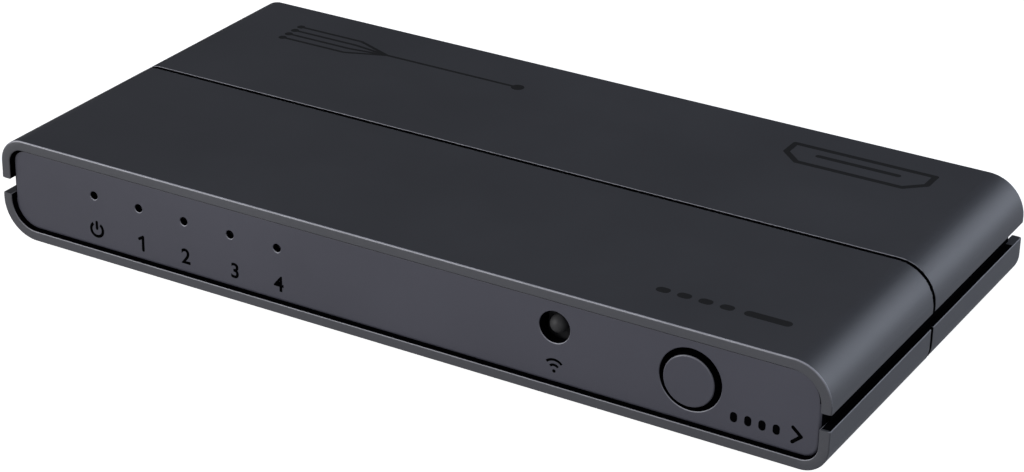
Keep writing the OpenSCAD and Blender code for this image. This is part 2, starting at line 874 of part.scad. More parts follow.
// A chip body with stepped leads along its sides; counts are leads per side along X and along Y
module leaded_chip(size, count_x, count_y, pitch, lead) {
    stand = 0.15;
    foot_l = 0.9;
    foot_t = 0.18;
    shoulder_z = size.z / 2;
    translate([-size.x / 2, -size.y / 2, stand]) cube([size.x, size.y, size.z - stand]);
    for (turn = [0, 180]) {
        rotate(turn)
            for (i = [0 : 1 : count_x - 1])
                translate([(i - (count_x - 1) / 2) * pitch - lead / 2, size.y / 2 - foot_t, 0]) {
                    translate([0, 0, shoulder_z - foot_t]) cube([lead, 2 * foot_t + foot_l / 3, foot_t]);
                    translate([0, foot_t + foot_l / 3, 0]) cube([lead, foot_t, shoulder_z]);
                    translate([0, foot_t + foot_l / 3, 0]) cube([lead, foot_l, foot_t]);
                }
        rotate(turn + 90)
            for (i = [0 : 1 : count_y - 1])
                translate([(i - (count_y - 1) / 2) * pitch - lead / 2, size.x / 2 - foot_t, 0]) {
                    translate([0, 0, shoulder_z - foot_t]) cube([lead, 2 * foot_t + foot_l / 3, foot_t]);
                    translate([0, foot_t + foot_l / 3, 0]) cube([lead, foot_t, shoulder_z]);
                    translate([0, foot_t + foot_l / 3, 0]) cube([lead, foot_l, foot_t]);
                }
    }
}

module switch_chip() {
    color(moulding_black)
        translate([chip_place.x, chip_place.y, board_z])
            leaded_chip([chip_w, chip_w, chip_h], 16, 16, 0.8, 0.35);
}

module control_chip() {
    color(moulding_black)
        translate([control_place.x, control_place.y, board_z])
            leaded_chip(control_size, 8, 0, 1.27, 0.45);
}

// Low metal can with round ends on a flanged base
module clock_crystal() {
    can_l = 10;
    can_w = 3.8;
    crystal_h = 3.4;
    base_t = 0.5;
    base_lip = 0.4;
    color(plated_steel)
        translate([crystal_place.x, crystal_place.y, board_z])
            for (part = [[can_w / 2, crystal_h], [can_w / 2 + base_lip, base_t]])
                linear_extrude(part[1]) {
                    for (side = [-1, 1])
                        translate([0, side * (can_l - can_w) / 2]) circle(r = part[0]);
                    square([2 * part[0], can_l - can_w], center = true);
                }
}

// Three-lead regulator with a wide tab behind
module regulator() {
    size = [6.5, 3.5, 1.6];
    tab = [3, 1.8, 0.3];
    lead = [0.7, 1.8, 0.3];
    lead_step = 2.3;
    color(moulding_black)
        translate([regulator_place.x, regulator_place.y, board_z]) {
            translate([-size.x / 2, -size.y / 2, 0]) cube(size);
            translate([-tab.x / 2, size.y / 2, 0]) cube(tab);
            for (step = [-1, 0, 1])
                translate([step * lead_step - lead.x / 2, -size.y / 2 - lead.y, 0]) cube(lead);
        }
}

// Shielded choke: a square ferrite frame round a winding drum
module choke() {
    drum_d = 5;
    ring_gap = 0.3;
    ring_depth = 1;
    corners = [
        [-choke_w / 2, -choke_w / 2],
        [choke_w / 2, -choke_w / 2],
        [choke_w / 2, choke_w / 2],
        [-choke_w / 2, choke_w / 2]
    ];
    color(moulding_black)
        translate([choke_place.x, choke_place.y, board_z])
            difference() {
                linear_extrude(choke_h) polygon(rounded_outline(corners, 1));
                translate([0, 0, choke_h - ring_depth])
                    difference() {
                        cylinder(d = drum_d, h = 2 * ring_depth);
                        translate([0, 0, -ring_depth])
                            cylinder(d = drum_d - 2 * ring_gap, h = 4 * ring_depth);
                    }
            }
}

// Upright capacitor cans with a crimped waist on square bases
module capacitors() {
    crimp_z = 1.4;
    crimp_h = 0.5;
    crimp_depth = 0.25;
    color(plated_steel)
        for (place = can_places)
            translate([place.x, place.y, board_z]) {
                translate([-can_base_w / 2, -can_base_w / 2, 0]) cube([can_base_w, can_base_w, can_base_h]);
                difference() {
                    cylinder(d = can_d, h = can_h);
                    translate([0, 0, crimp_z])
                        difference() {
                            cylinder(d = can_d + cut_over, h = crimp_h);
                            cylinder(d = can_d - 2 * crimp_depth, h = crimp_h);
                        }
                }
            }
}

// One surge array in front of each port's tails
module surge_arrays() {
    color(moulding_black)
        for (x = port_x)
            translate([x - surge_size.x / 2, surge_y - surge_size.y / 2, board_z]) cube(surge_size);
}

// Rubber foot with a bevelled tread; sides are -1 or 1
module rubber_foot(side_x, side_y) {
    tread_bevel = 0.3;
    color(rubber_black)
        translate([side_x * (body_w / 2 - foot_inset_x), side_y * (rim_y - foot_inset_y), 0])
            rotate_extrude()
                polygon([
                    [0, 0],
                    [foot_d / 2 - tread_bevel, 0],
                    [foot_d / 2, tread_bevel],
                    [foot_d / 2, foot_h + foot_seat],
                    [0, foot_h + foot_seat]
                ]);
}

module case_screws() {
    color(plated_steel)
        for (place = screw_places)
            translate([place.x, place.y, screw_seat_z])
                difference() {
                    union() {
                        cylinder(d = screw_d, h = screw_l);
                        translate([0, 0, -screw_head_h]) cylinder(d = screw_head_d, h = screw_head_h);
                    }
                    for (turn = [0, 90])
                        rotate(turn)
                            translate([-drive_l / 2, -drive_w / 2, -screw_head_h - cut_over])
                                cube([drive_l, drive_w, cut_over + drive_depth]);
                }
}

upper_shell();
lower_shell();
front_panel();
rear_panel();
main_board();
select_button();
tact_body();
tact_cover();
tact_plunger();
tact_dome();
remote_eye();
indicator(0);  // power_led
indicator(1);  // input_led_1
indicator(2);  // input_led_2
indicator(3);  // input_led_3
indicator(4);  // input_led_4
port_shell(0);  // port_shell_out
port_shell(1);  // port_shell_1
port_shell(2);  // port_shell_2
port_shell(3);  // port_shell_3
port_shell(4);  // port_shell_4
port_core(0);  // port_core_out
port_core(1);  // port_core_1
port_core(2);  // port_core_2
port_core(3);  // port_core_3
port_core(4);  // port_core_4
port_contacts();
power_socket();
power_pin();
power_spring();
switch_chip();
control_chip();
clock_crystal();
regulator();
choke();
capacitors();
surge_arrays();
rubber_foot(-1, -1);  // foot_front_left
rubber_foot(1, -1);  // foot_front_right
rubber_foot(-1, 1);  // foot_rear_left
rubber_foot(1, 1);  // foot_rear_right
case_screws();
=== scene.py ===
"""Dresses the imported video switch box: moulded shells, end panels, button, sockets, marks and finishes."""
import math
from contextlib import contextmanager

import bmesh
import bpy
from mathutils import Matrix, Vector


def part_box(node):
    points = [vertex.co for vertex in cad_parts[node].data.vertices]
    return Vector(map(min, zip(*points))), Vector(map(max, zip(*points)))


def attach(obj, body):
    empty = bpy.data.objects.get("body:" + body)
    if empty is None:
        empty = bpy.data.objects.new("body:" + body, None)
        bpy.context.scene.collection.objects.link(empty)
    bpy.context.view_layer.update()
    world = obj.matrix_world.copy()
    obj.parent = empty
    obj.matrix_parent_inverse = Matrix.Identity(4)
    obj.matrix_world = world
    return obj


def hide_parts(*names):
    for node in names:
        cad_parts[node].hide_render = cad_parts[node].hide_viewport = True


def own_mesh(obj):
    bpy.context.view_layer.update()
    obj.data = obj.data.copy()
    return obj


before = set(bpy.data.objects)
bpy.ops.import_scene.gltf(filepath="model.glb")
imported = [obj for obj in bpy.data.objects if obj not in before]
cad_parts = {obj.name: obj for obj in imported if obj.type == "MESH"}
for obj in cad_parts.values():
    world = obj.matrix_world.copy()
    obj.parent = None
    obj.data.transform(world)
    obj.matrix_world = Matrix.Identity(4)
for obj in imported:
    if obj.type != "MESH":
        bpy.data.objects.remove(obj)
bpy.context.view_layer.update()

MM = 0.001


def box(name):
    """A node's lowest and highest corners."""
    low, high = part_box(name)
    return Vector(low), Vector(high)


def middle_of(name):
    """The middle of a node's box."""
    low, high = box(name)
    return (low + high) / 2


# Case
HALF_W, RIM, CROWN = box("upper_shell")[1]
UNDERSIDE = box("lower_shell")[0].z
BOARD_LOW = box("main_board")[0].z
BOARD_TOP = box("main_board")[1].z
MID = (CROWN + UNDERSIDE) / 2
HALF_H = (CROWN - UNDERSIDE) / 2
WALL = 1.65 * MM
BROAD_R = 6.3 * MM
TIGHT_R = 4.25 * MM
SLOT_HALF = 1.3 * MM
SLOT_LOW = MID - SLOT_HALF
SLOT_HIGH = MID + SLOT_HALF
GROOVE_W = 0.9 * MM
GROOVE_DEPTH = 0.5 * MM
SLOT_DEPTH = 1.25 * MM
SLOT_GAP = 0.1 * MM
RAIL_T = 1.2 * MM
RAIL_LOW = SLOT_LOW - 1.2 * MM
# Where the black painted shade in the side slots ends at the rear, and begins at the front on each side.
LEDGE_REAR = RIM - 3.6 * MM
LEDGE_LEFT = 4 * MM - RIM
LEDGE_RIGHT = 0.4 * MM - RIM
INK = 0.015 * MM
MARK_T = 1.2 * INK
FRONT_MARK_RISE = 0.4 * MARK_T
STROKE_ROUND = 0.48
ARC_STEP = 10
CROWN_SKIN = CROWN - INK
ROOF = CROWN - WALL
FLOOR = UNDERSIDE + WALL
IN_ROOF = ROOF + WALL / 2
IN_FLOOR = FLOOR - WALL / 2

# Panels
PANEL_INSET = WALL + 0.1 * MM
PANEL_T = 1.8 * MM
PANEL_LOW = UNDERSIDE + PANEL_INSET
PANEL_HIGH = CROWN - PANEL_INSET
FRONT_FACE = box("front_panel")[0].y
FRONT_BACK = FRONT_FACE + PANEL_T
REAR_FACE = box("rear_panel")[1].y
REAR_BACK = REAR_FACE - PANEL_T
RIB_T = 1.2 * MM
RIB_L = 44 * MM
RIB_H = 1.2 * MM
SEAT_GAP = 0.1 * MM
TAB_X = 30 * MM
TAB_W = 6 * MM
TAB_L = 5 * MM
TAB_T = 1 * MM
PEG_R = 1 * MM
PEG_FROM_BACK = 3.1 * MM
PEG_H = 1.2 * MM

# Front pieces
LAMPS = ["power_led", "input_led_1", "input_led_2", "input_led_3", "input_led_4"]
LAMP_X = [middle_of(n).x for n in LAMPS]
LAMP_FLANGE_R = 1.9 * MM
LAMP_Z = box("power_led")[1].z - LAMP_FLANGE_R
LAMP_L = 5.5 * MM
PINHOLE_R = 0.7 * MM
LAMP_POCKET_R = 1.7 * MM
LAMP_SKIN = 0.8 * MM
EYE_BELOW_TOP = 3 * MM
EYE_X = middle_of("remote_eye").x
EYE_Z = box("remote_eye")[1].z - EYE_BELOW_TOP
EYE_HOLE_R = 2.55 * MM
EYE_LENS_R = 1.45 * MM
EYE_LENS_ROUND = 0.99 * EYE_LENS_R
EYE_BLOCK_L = 3 * MM
EYE_BLOCK_EDGE = 0.25 * MM
LEAD_W = 0.5 * MM
LEAD_SPAN = 1.27 * MM
BUTTON_X, _, BUTTON_Z = middle_of("select_button")
BUTTON_R = 4.05 * MM
BUTTON_EDGE = 0.2 * MM
BUTTON_WEAR_HIGHLIGHT = 0.4
BUTTON_HOLE_R = 4.95 * MM
FLANGE_R = 5.5 * MM
FLANGE_T = 1 * MM
STEM_R = 1.5 * MM
DOME_T = 0.12 * MM
COLLAR_IN_R = 5.6 * MM
COLLAR_OUT_R = 6.4 * MM
COLLAR_L = 1.6 * MM

# Rear pieces
PORTS = ["out", "1", "2", "3", "4"]
PORT_BACK = box("port_shell_out")[0].y
PORT_MOUTH = box("port_shell_out")[1].y
PORT_W = 14 * MM
PORT_H = 4.55 * MM
PORT_FOOT_W = 10.3 * MM
PORT_SIDE_H = 2.6 * MM
PORT_CORNER_R = 0.5 * MM
PORT_SHEET = 0.35 * MM
PORT_EDGE = 0.1 * MM
PORT_GAP = 0.3 * MM
PORT_LEG_Y = [PORT_BACK + d * MM for d in (2.5, 7.5)]
PORT_LEG_W = 1 * MM
CORE_L = 3.4 * MM
CORE_GAP = 0.05 * MM
TAIL_W = 12.6 * MM
TAIL_TOP = 1.2 * MM
TONGUE_W = 10.7 * MM
TONGUE_T = 1.5 * MM
TONGUE_LIFT = 0.15 * MM
TONGUE_EDGE = 0.3 * MM
POWER_RISE = 3.4 * MM
POWER_X = middle_of("power_socket").x
POWER_Z = BOARD_TOP + POWER_RISE
POWER_FACE = REAR_BACK - 0.2 * MM
POWER_L = 9 * MM
POWER_BACK_WALL = 1.6 * MM
POWER_EDGE = 0.3 * MM
NOSE_R = 3.2 * MM
NOSE_EDGE = 0.2 * MM
NOSE_HOLE_R = 3.4 * MM
BORE_R = 2 * MM
SPRING_SLOT_W = 1.8 * MM
SPRING_SLOT_H = 0.9 * MM

# Chips
CHIP_LEAD_L = 1.2 * MM
CHIP_LEAD_T = 0.16 * MM

# Screws and feet
SCREW_HEAD_R = 2.3 * MM
SCREW_X = box("case_screws")[1].x - SCREW_HEAD_R
SCREW_Y = [box("case_screws")[0].y + SCREW_HEAD_R, box("case_screws")[1].y - SCREW_HEAD_R]
SCREW_PLACES = [(side * SCREW_X, y) for side in (-1, 1) for y in SCREW_Y]
POCKET_R = 2.6 * MM
POCKET_TOP = UNDERSIDE + 2 * MM
SCREW_HOLE_R = 1.45 * MM
POST_R = 3.5 * MM
BOSS_R = 2.75 * MM
PILOT_R = 1.3 * MM
PILOT_TOP = 12.5 * MM
SCREW_HEAD_H = 1.6 * MM
SCREW_HEAD_ROUND = 0.7 * MM
SCREW_TIP_EDGE = 0.5 * MM
SCREW_R = 1.25 * MM
SCREW_L = 8.5 * MM
DRIVE_L = 2.6 * MM
DRIVE_W = 0.7 * MM
DRIVE_DEPTH = 0.9 * MM
FEET = ["foot_front_left", "foot_front_right", "foot_rear_left", "foot_rear_right"]
FOOT_LOW, FOOT_HIGH = box(FEET[0])
FOOT_R = (FOOT_HIGH.x - FOOT_LOW.x) / 2
FOOT_SEAT_GAP = 0.05 * MM
TREAD_EDGE = 0.3 * MM
DISH_DEPTH = 0.2 * MM
DISH_TAPER = 0.93

# Edges left by the mould
RIM_EDGE = 0.22 * MM
RIM_INNER_EDGE = 0.12 * MM
SLOT_EDGE = 0.12 * MM
GROOVE_EDGE = 0.07 * MM
HOLE_EDGE = 0.12 * MM
PANEL_EDGE = 0.55 * MM
# How deep into the panel's rounded border the black painted shade begins, below and above mid height.
BORDER_SHADE_DEPTH = (0.3 * MM, 0.02 * MM)
# How far inside the wall a face must lie to take the black painted shade.
INNER_SKIN = 0.02 * MM
# Faces that point up get more of the pale edge shade: a painted highlight where light from above would catch
# them.
UPWARD_HIGHLIGHT_GAIN = 1.4
EDGE_STEPS = 3
ROUND_STEPS = 20
HOLE_SIDES = 64
PEG_SIDES = 32
BUTTON_SIDES = 96
SMOOTH_BELOW = math.radians(35)
TIPPED = (math.pi / 2, 0, 0)
OVER = 1 * MM
NEAR = 0.004 * MM


# Modelling

def near(a, b):
    return abs(a - b) < NEAR


def at_y(level):
    return lambda p: near(p.y, level)


def at_z(level):
    return lambda p: near(p.z, level)


def deselect_all():
    if bpy.context.object and bpy.context.object.mode != "OBJECT":
        bpy.ops.object.mode_set(mode="OBJECT")
    bpy.ops.object.select_all(action="DESELECT")


def make_active(piece):
    deselect_all()
    piece.select_set(True)
    bpy.context.view_layer.objects.active = piece


def settled(name):
    """Names the primitive just added and puts its place and size into its mesh."""
    piece = bpy.context.object
    piece.name = piece.data.name = name
    bpy.ops.object.transform_apply(location=True, rotation=True, scale=True)
    return piece


def add_block(name, corner, opposite):
    """A block between two opposite corners, in any order."""
    deselect_all()
    low, high = Vector(map(min, corner, opposite)), Vector(map(max, corner, opposite))
    bpy.ops.mesh.primitive_cube_add(size=1, location=(low + high) / 2, scale=high - low)
    return settled(name)


def add_slab(name, x, width, start, end, low_z, high_z):
    """A block centred on x."""
    return add_block(name, (x - width / 2, start, low_z), (x + width / 2, end, high_z))


def add_rod(name, start, end, radius, sides=HOLE_SIDES):
    """A round bar between two points along Y or Z."""
    deselect_all()
    start, end = Vector(start), Vector(end)
    turn = TIPPED if abs(end.y - start.y) > abs(end.z - start.z) else (0, 0, 0)
    bpy.ops.mesh.primitive_cylinder_add(
        vertices=sides, radius=radius, depth=(end - start).length, location=(start + end) / 2, rotation=turn
    )
    return settled(name)


def add_post(name, x, y, low_z, high_z, radius, sides=HOLE_SIDES):
    return add_rod(name, (x, y, low_z), (x, y, high_z), radius, sides)


def add_pin(name, x, z, start, end, radius, sides=HOLE_SIDES):
    return add_rod(name, (x, start, z), (x, end, z), radius, sides)


def add_ball(name, centre, radius):
    """A ball with its poles at the front and rear."""
    deselect_all()
    bpy.ops.mesh.primitive_uv_sphere_add(
        segments=HOLE_SIDES, ring_count=HOLE_SIDES, radius=radius, location=centre, rotation=TIPPED
    )
    return settled(name)


@contextmanager
def shaping(piece):
    """Edit mode on one piece with nothing selected."""
    make_active(piece)
    bpy.ops.object.mode_set(mode="EDIT")
    bpy.ops.mesh.select_all(action="DESELECT")
    yield bmesh.from_edit_mesh(piece.data)
    bpy.ops.object.mode_set(mode="OBJECT")


def pick_faces(piece, test):
    """Selects the faces whose corners all pass the test."""
    bpy.ops.mesh.select_mode(type="FACE")
    bpy.ops.mesh.select_all(action="DESELECT")
    mesh = bmesh.from_edit_mesh(piece.data)
    for face in mesh.faces:
        face.select_set(all(test(v.co) for v in face.verts))
    bmesh.update_edit_mesh(piece.data)


def remove_faces(piece, *tests):
    for test in tests:
        pick_faces(piece, test)
        bpy.ops.mesh.delete(type="FACE")


def pick_edges(piece, test, along=None, sharper_than=25):
    """Selects the sharp edges whose ends both pass the test, and that run along an axis if one is given."""
    bpy.ops.mesh.select_mode(type="EDGE")
    bpy.ops.mesh.select_all(action="DESELECT")
    mesh = bmesh.from_edit_mesh(piece.data)
    for edge in mesh.edges:
        a, b = (v.co for v in edge.verts)
        aligned = along is None or (b - a).cross(Vector(along)).length < NEAR
        sharp = math.degrees(edge.calc_face_angle(math.pi)) > sharper_than
        edge.select_set(aligned and sharp and test(a) and test(b))
    bmesh.update_edit_mesh(piece.data)


def round_picked(width, steps):
    """Rounds the picked edges, and leaves the new faces picked."""
    bpy.ops.mesh.bevel(offset=width, segments=steps, profile=0.5, affect="EDGES")


def extrude(move):
    """Draws the picked faces out."""
    bpy.ops.mesh.extrude_region_move(TRANSFORM_OT_translate={"value": move})


def pick_all():
    bpy.ops.mesh.select_all(action="SELECT")


def slice_off(place, outward):
    """Cuts the whole piece at a plane and closes it there, without what lies outward."""
    pick_all()
    bpy.ops.mesh.bisect(plane_co=place, plane_no=outward, clear_outer=True, use_fill=True)


def mark_wear_highlight(piece, width, amount):
    """Writes the wear-and-highlight attribute on the picked faces no broader than width, most on those that
    face up, where it acts as a painted highlight.
    """
    mesh = bmesh.from_edit_mesh(piece.data)
    mesh.normal_update()
    layer = mesh.faces.layers.float.get("wear_highlight") or mesh.faces.layers.float.new("wear_highlight")
    for face in mesh.faces:
        if face.select and 2 * face.calc_area() < width * face.calc_perimeter():
            face[layer] = amount * min(1, max(0, UPWARD_HIGHLIGHT_GAIN * face.normal.z))
    bmesh.update_edit_mesh(piece.data)


def soften(piece, test, width, steps=EDGE_STEPS, wear_highlight=0):
    """Rounds every sharp edge whose ends pass the test, and gives it edge wear with a painted highlight, by
    an amount from zero to one.
    """
    with shaping(piece):
        pick_edges(piece, test)
        round_picked(width, steps)
        if wear_highlight:
            mark_wear_highlight(piece, width, wear_highlight)


def apply_modifier(piece, kind, **settings):
    modifier = piece.modifiers.new(kind.lower(), kind)
    for key, value in settings.items():
        setattr(modifier, key, value)
    make_active(piece)
    bpy.ops.object.modifier_apply(modifier=modifier.name)


def joined(tools):
    """One object out of several that don't touch each other."""
    make_active(tools[0])
    for tool in tools:
        tool.select_set(True)
    if len(tools) > 1:
        bpy.ops.object.join()
    return bpy.context.object


def combine(piece, tools, operation):
    tool = joined(tools)
    apply_modifier(piece, "BOOLEAN", object=tool, operation=operation, solver="EXACT")
    bpy.data.objects.remove(tool)


def fuse(piece, *tools):
    combine(piece, tools, "UNION")


def cut(piece, *tools):
    combine(piece, tools, "DIFFERENCE")


def copied(piece, name, shift):
    """A copy with its own mesh, moved by shift."""
    make_active(piece)
    bpy.ops.object.duplicate()
    bpy.context.object.location = shift
    return settled(name)


def stepped_rod(name, start, middle, end, wide, narrow):
    """A round bar with a narrower one on its end, or a bore in it where the end lies back inside."""
    piece = add_rod(name, start, middle, wide)
    middle, end = Vector(middle), Vector(end)
    run = end - middle
    with shaping(piece):
        pick_faces(piece, lambda p: abs((p - middle).dot(run.normalized())) < NEAR)
        bpy.ops.mesh.inset(thickness=wide - narrow)
        extrude(run)
    return piece


def finish_normals(piece):
    """Smooth shading over the fine edges while the flats stay flat."""
    make_active(piece)
    bpy.ops.object.shade_smooth_by_angle(angle=SMOOTH_BELOW)
    apply_modifier(piece, "WEIGHTED_NORMAL", keep_sharp=True, weight=80)


def paint(piece, *finishes):
    """Fills the material slots: the first finish covers all, the others wait for paint_faces."""
    piece.data.materials.clear()
    for finish in finishes:
        piece.data.materials.append(finish)
    paint_faces(piece, 0, lambda c: True)


def paint_faces(piece, index, test):
    """Gives the faces whose centre passes the test another of the piece's finishes."""
    for face in piece.data.polygons:
        if test(face.center):
            face.material_index = index


def hand_over(piece, slot, *nodes, body="case"):
    """Puts a finished piece on its body in place of the nodes it stands for."""
    finish_normals(piece)
    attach(piece, body)
    if nodes:
        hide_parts(*nodes)


# Finishes

def fill(tree, made, values):
    """Sets a node's inputs, and links those whose value is another node's output."""
    for key, value in values.items():
        if isinstance(value, bpy.types.NodeSocket):
            tree.links.new(value, made.inputs[key])
        else:
            made.inputs[key].default_value = value


def node(tree, kind, inputs=None, **settings):
    """A shader node with its settings, values and links."""
    made = tree.nodes.new(kind)
    for key, value in settings.items():
        setattr(made, key, value)
    fill(tree, made, inputs or {})
    return made


def new_group(name, inputs, outputs):
    """An empty node group, what it is given, and the node that takes its results."""
    group = bpy.data.node_groups.new(name, "ShaderNodeTree")
    for way, sockets in (("INPUT", inputs), ("OUTPUT", outputs)):
        for label, kind in sockets.items():
            group.interface.new_socket(label, in_out=way, socket_type=kind)
    return group, group.nodes.new("NodeGroupInput").outputs, group.nodes.new("NodeGroupOutput")


COLOUR = "NodeSocketColor"
VALUE = "NodeSocketFloat"


def scaled(tree, source, low, high):
    """A zero-to-one value spread over another range."""
    return node(tree, "ShaderNodeMapRange", {"Value": source, "To Min": low, "To Max": high}).outputs[0]


def math_node(tree, operation, a, b):
    return node(tree, "ShaderNodeMath", {0: a, 1: b}, operation=operation).outputs[0]


def blend(tree, amount, a, b):
    """One colour passing into another."""
    return node(tree, "ShaderNodeMix", {0: amount, 6: a, 7: b}, data_type="RGBA").outputs[2]


def object_place(tree):
    return node(tree, "ShaderNodeTexCoord").outputs["Object"]


def noise(tree, place, scale, detail, roughness=0.5):
    inputs = {"Vector": place, "Scale": scale, "Detail": detail, "Roughness": roughness}
    return node(tree, "ShaderNodeTexNoise", inputs).outputs["Fac"]


def mould_grain_group():
    """Fine spark-eroded grain with a faint cloudy change of shade, as on moulded and painted plastic."""
    group, given, result = new_group(
        "mould_grain",
        {"Shade": COLOUR, "Grain Scale": VALUE, "Mottle": VALUE, "Gloss Base": VALUE},
        {"Color": COLOUR, "Roughness": VALUE, "Height": VALUE},
    )
    place, scale = object_place(group), given["Grain Scale"]
    drift = math_node(group, "SUBTRACT", noise(group, place, 45.0, 3.0), 0.5)
    grain = noise(group, place, scale, 4.0, roughness=0.6)
    pits = node(group, "ShaderNodeTexVoronoi", {"Vector": place, "Scale": scale}, feature="SMOOTH_F1")
    change = math_node(group, "MULTIPLY", drift, given["Mottle"])
    level = math_node(group, "ADD", scaled(group, grain, 0.94, 1.06), change)
    shade = node(group, "ShaderNodeHueSaturation", {"Color": given["Shade"], "Value": level})
    rough = math_node(group, "ADD", scaled(group, grain, -0.05, 0.05), given["Gloss Base"])
    rough = math_node(group, "ADD", rough, math_node(group, "MULTIPLY", drift, 0.12))
    height = math_node(group, "MULTIPLY", grain, pits.outputs["Distance"])
    fill(group, result, {"Color": shade.outputs["Color"], "Roughness": rough, "Height": height})
    return group


def edge_wear_highlight_group():
    """Edges polished and paled by handling, in patches, together with a painted highlight, wherever a piece
    carries the wear-and-highlight attribute.
    """
    group, given, result = new_group(
        "edge_wear_highlight",
        {"Color": COLOUR, "Worn Highlight": COLOUR, "Roughness": VALUE, "Polish": VALUE},
        {"Color": COLOUR, "Roughness": VALUE},
    )
    wear_highlight = node(group, "ShaderNodeAttribute", attribute_name="wear_highlight").outputs["Fac"]
    patches = noise(group, object_place(group), 220.0, 2.0)
    mask = math_node(group, "MULTIPLY", wear_highlight, scaled(group, patches, 0.55, 1.0))
    shade = blend(group, mask, given["Color"], given["Worn Highlight"])
    eased = math_node(group, "MULTIPLY", mask, given["Polish"])
    rough = math_node(group, "SUBTRACT", given["Roughness"], eased)
    fill(group, result, {"Color": shade, "Roughness": rough})
    return group


def drawn_metal_group():
    """Fine lines of rolled or turned metal along one axis, with cloudy tarnish."""
    group, given, result = new_group(
        "drawn_metal",
        {"Shade": COLOUR, "Tarnish": COLOUR, "Lines": "NodeSocketVector", "Gloss Base": VALUE},
        {"Color": COLOUR, "Roughness": VALUE, "Height": VALUE},
    )
    place = object_place(group)
    stretched = node(group, "ShaderNodeMapping", {"Vector": place, "Scale": given["Lines"]})
    lines = noise(group, stretched.outputs[0], 1.0, 5.0)
    stain = scaled(group, noise(group, place, 350.0, 3.0), -0.3, 0.7)
    shade = blend(group, stain, given["Shade"], given["Tarnish"])
    rough = math_node(group, "ADD", scaled(group, lines, -0.12, 0.12), given["Gloss Base"])
    fill(group, result, {"Color": shade, "Roughness": rough, "Height": lines})
    return group


MOULD_GRAIN = mould_grain_group()
EDGE_WEAR_HIGHLIGHT = edge_wear_highlight_group()
DRAWN_METAL = drawn_metal_group()


def new_finish(name):
    """An empty material with its shader, and the tree they sit in."""
    finish = bpy.data.materials.new(name)
    finish.use_nodes = True
    tree = finish.node_tree
    return finish, tree, tree.nodes["Principled BSDF"]


def bump(tree, shader, height, distance, strength):
    made = node(tree, "ShaderNodeBump", {"Height": height, "Distance": distance, "Strength": strength})
    fill(tree, shader, {"Normal": made.outputs["Normal"]})


def placed_group(tree, group, values):
    """What a node group gives for some values."""
    return node(tree, "ShaderNodeGroup", values, node_tree=group).outputs


def feed(tree, shader, source):
    """Leads a group's colour and roughness to the shader."""
    fill(tree, shader, {"Base Color": source["Color"], "Roughness": source["Roughness"]})


def moulded(name, shade, gloss_base, grain_scale=5200.0, depth=0.02, mirror=0.35, worn_highlight_shade=None):
    """Moulded plastic: fine grain, faint clouds, and paler edges, part wear and part painted highlight,
    where a shade for them is given.
    """
    finish, tree, shader = new_finish(name)
    fill(tree, shader, {"Specular IOR Level": mirror})
    look = {"Shade": (*shade, 1), "Grain Scale": grain_scale, "Mottle": 0.25, "Gloss Base": gloss_base}
    grain = skin = placed_group(tree, MOULD_GRAIN, look)
    if worn_highlight_shade:
        plain = {label: grain[label] for label in ("Color", "Roughness")}
        skin = placed_group(tree, EDGE_WEAR_HIGHLIGHT, {**plain, "Worn Highlight": (*worn_highlight_shade, 1), "Polish": 0.16})
    feed(tree, shader, skin)
    bump(tree, shader, grain["Height"], depth * MM, 0.35)
    return finish


def metal(name, shade, tarnish, gloss_base, lines=(400.0, 9000.0, 9000.0), depth=0.004):
    """Plated or rolled metal with fine lines along one axis."""
    finish, tree, shader = new_finish(name)
    look = {"Shade": (*shade, 1), "Tarnish": (*tarnish, 1), "Lines": lines, "Gloss Base": gloss_base}
    drawn = placed_group(tree, DRAWN_METAL, look)
    feed(tree, shader, drawn)
    fill(tree, shader, {"Metallic": 1.0})
    bump(tree, shader, drawn["Height"], depth * MM, 0.3)
    return finish


def resin(name, shade, gloss_base, mirror, coat):
    """Cast resin with a smooth skin."""
    finish = moulded(name, shade, gloss_base, grain_scale=1800.0, depth=0.003, mirror=mirror)
    tree = finish.node_tree
    fill(tree, tree.nodes["Principled BSDF"], {"Coat Weight": coat, "Coat Roughness": 0.08})
    return finish


def board_lacquer():
    """Green solder mask over copper tracks that show as paler bands."""
    finish, tree, shader = new_finish("board_lacquer")
    tracks = node(
        tree,
        "ShaderNodeTexBrick",
        {
            "Vector": object_place(tree),
            "Color1": (0.004, 0.06, 0.026, 1),
            "Color2": (0.005, 0.075, 0.034, 1),
            "Mortar": (0.012, 0.13, 0.06, 1),
            "Scale": 150.0,
            "Mortar Size": 0.06,
            "Mortar Smooth": 0.2,
            "Brick Width": 1.7,
            "Row Height": 0.35,
        },
    )
    look = {"Shade": tracks.outputs["Color"], "Grain Scale": 900.0, "Mottle": 0.3, "Gloss Base": 0.3}
    feed(tree, shader, placed_group(tree, MOULD_GRAIN, look))
    bump(tree, shader, tracks.outputs["Fac"], 0.02 * MM, 0.4)
    return finish


CHARCOAL = (0.0435, 0.045, 0.052)
# The panels' and button's charcoal is the shell's charcoal made a little lighter and bluer: painted light
# standing for the cool light on the end faces.
CHARCOAL_BLUER_LIT = (0.0453, 0.0458, 0.059)
# Pale edge shade, far lighter than the charcoal: edge wear and a painted highlight in one.
CHARCOAL_WORN_HIGHLIGHT = (0.37, 0.375, 0.42)
SHELL_FINISH = moulded("charcoal_shell", CHARCOAL, 0.48, mirror=0.5, worn_highlight_shade=CHARCOAL_WORN_HIGHLIGHT)
PANEL_FINISH = moulded("charcoal_panel", CHARCOAL_BLUER_LIT, 0.46, worn_highlight_shade=CHARCOAL_WORN_HIGHLIGHT)
BUTTON_FINISH = moulded("charcoal_button", CHARCOAL_BLUER_LIT, 0.42, worn_highlight_shade=CHARCOAL_WORN_HIGHLIGHT)
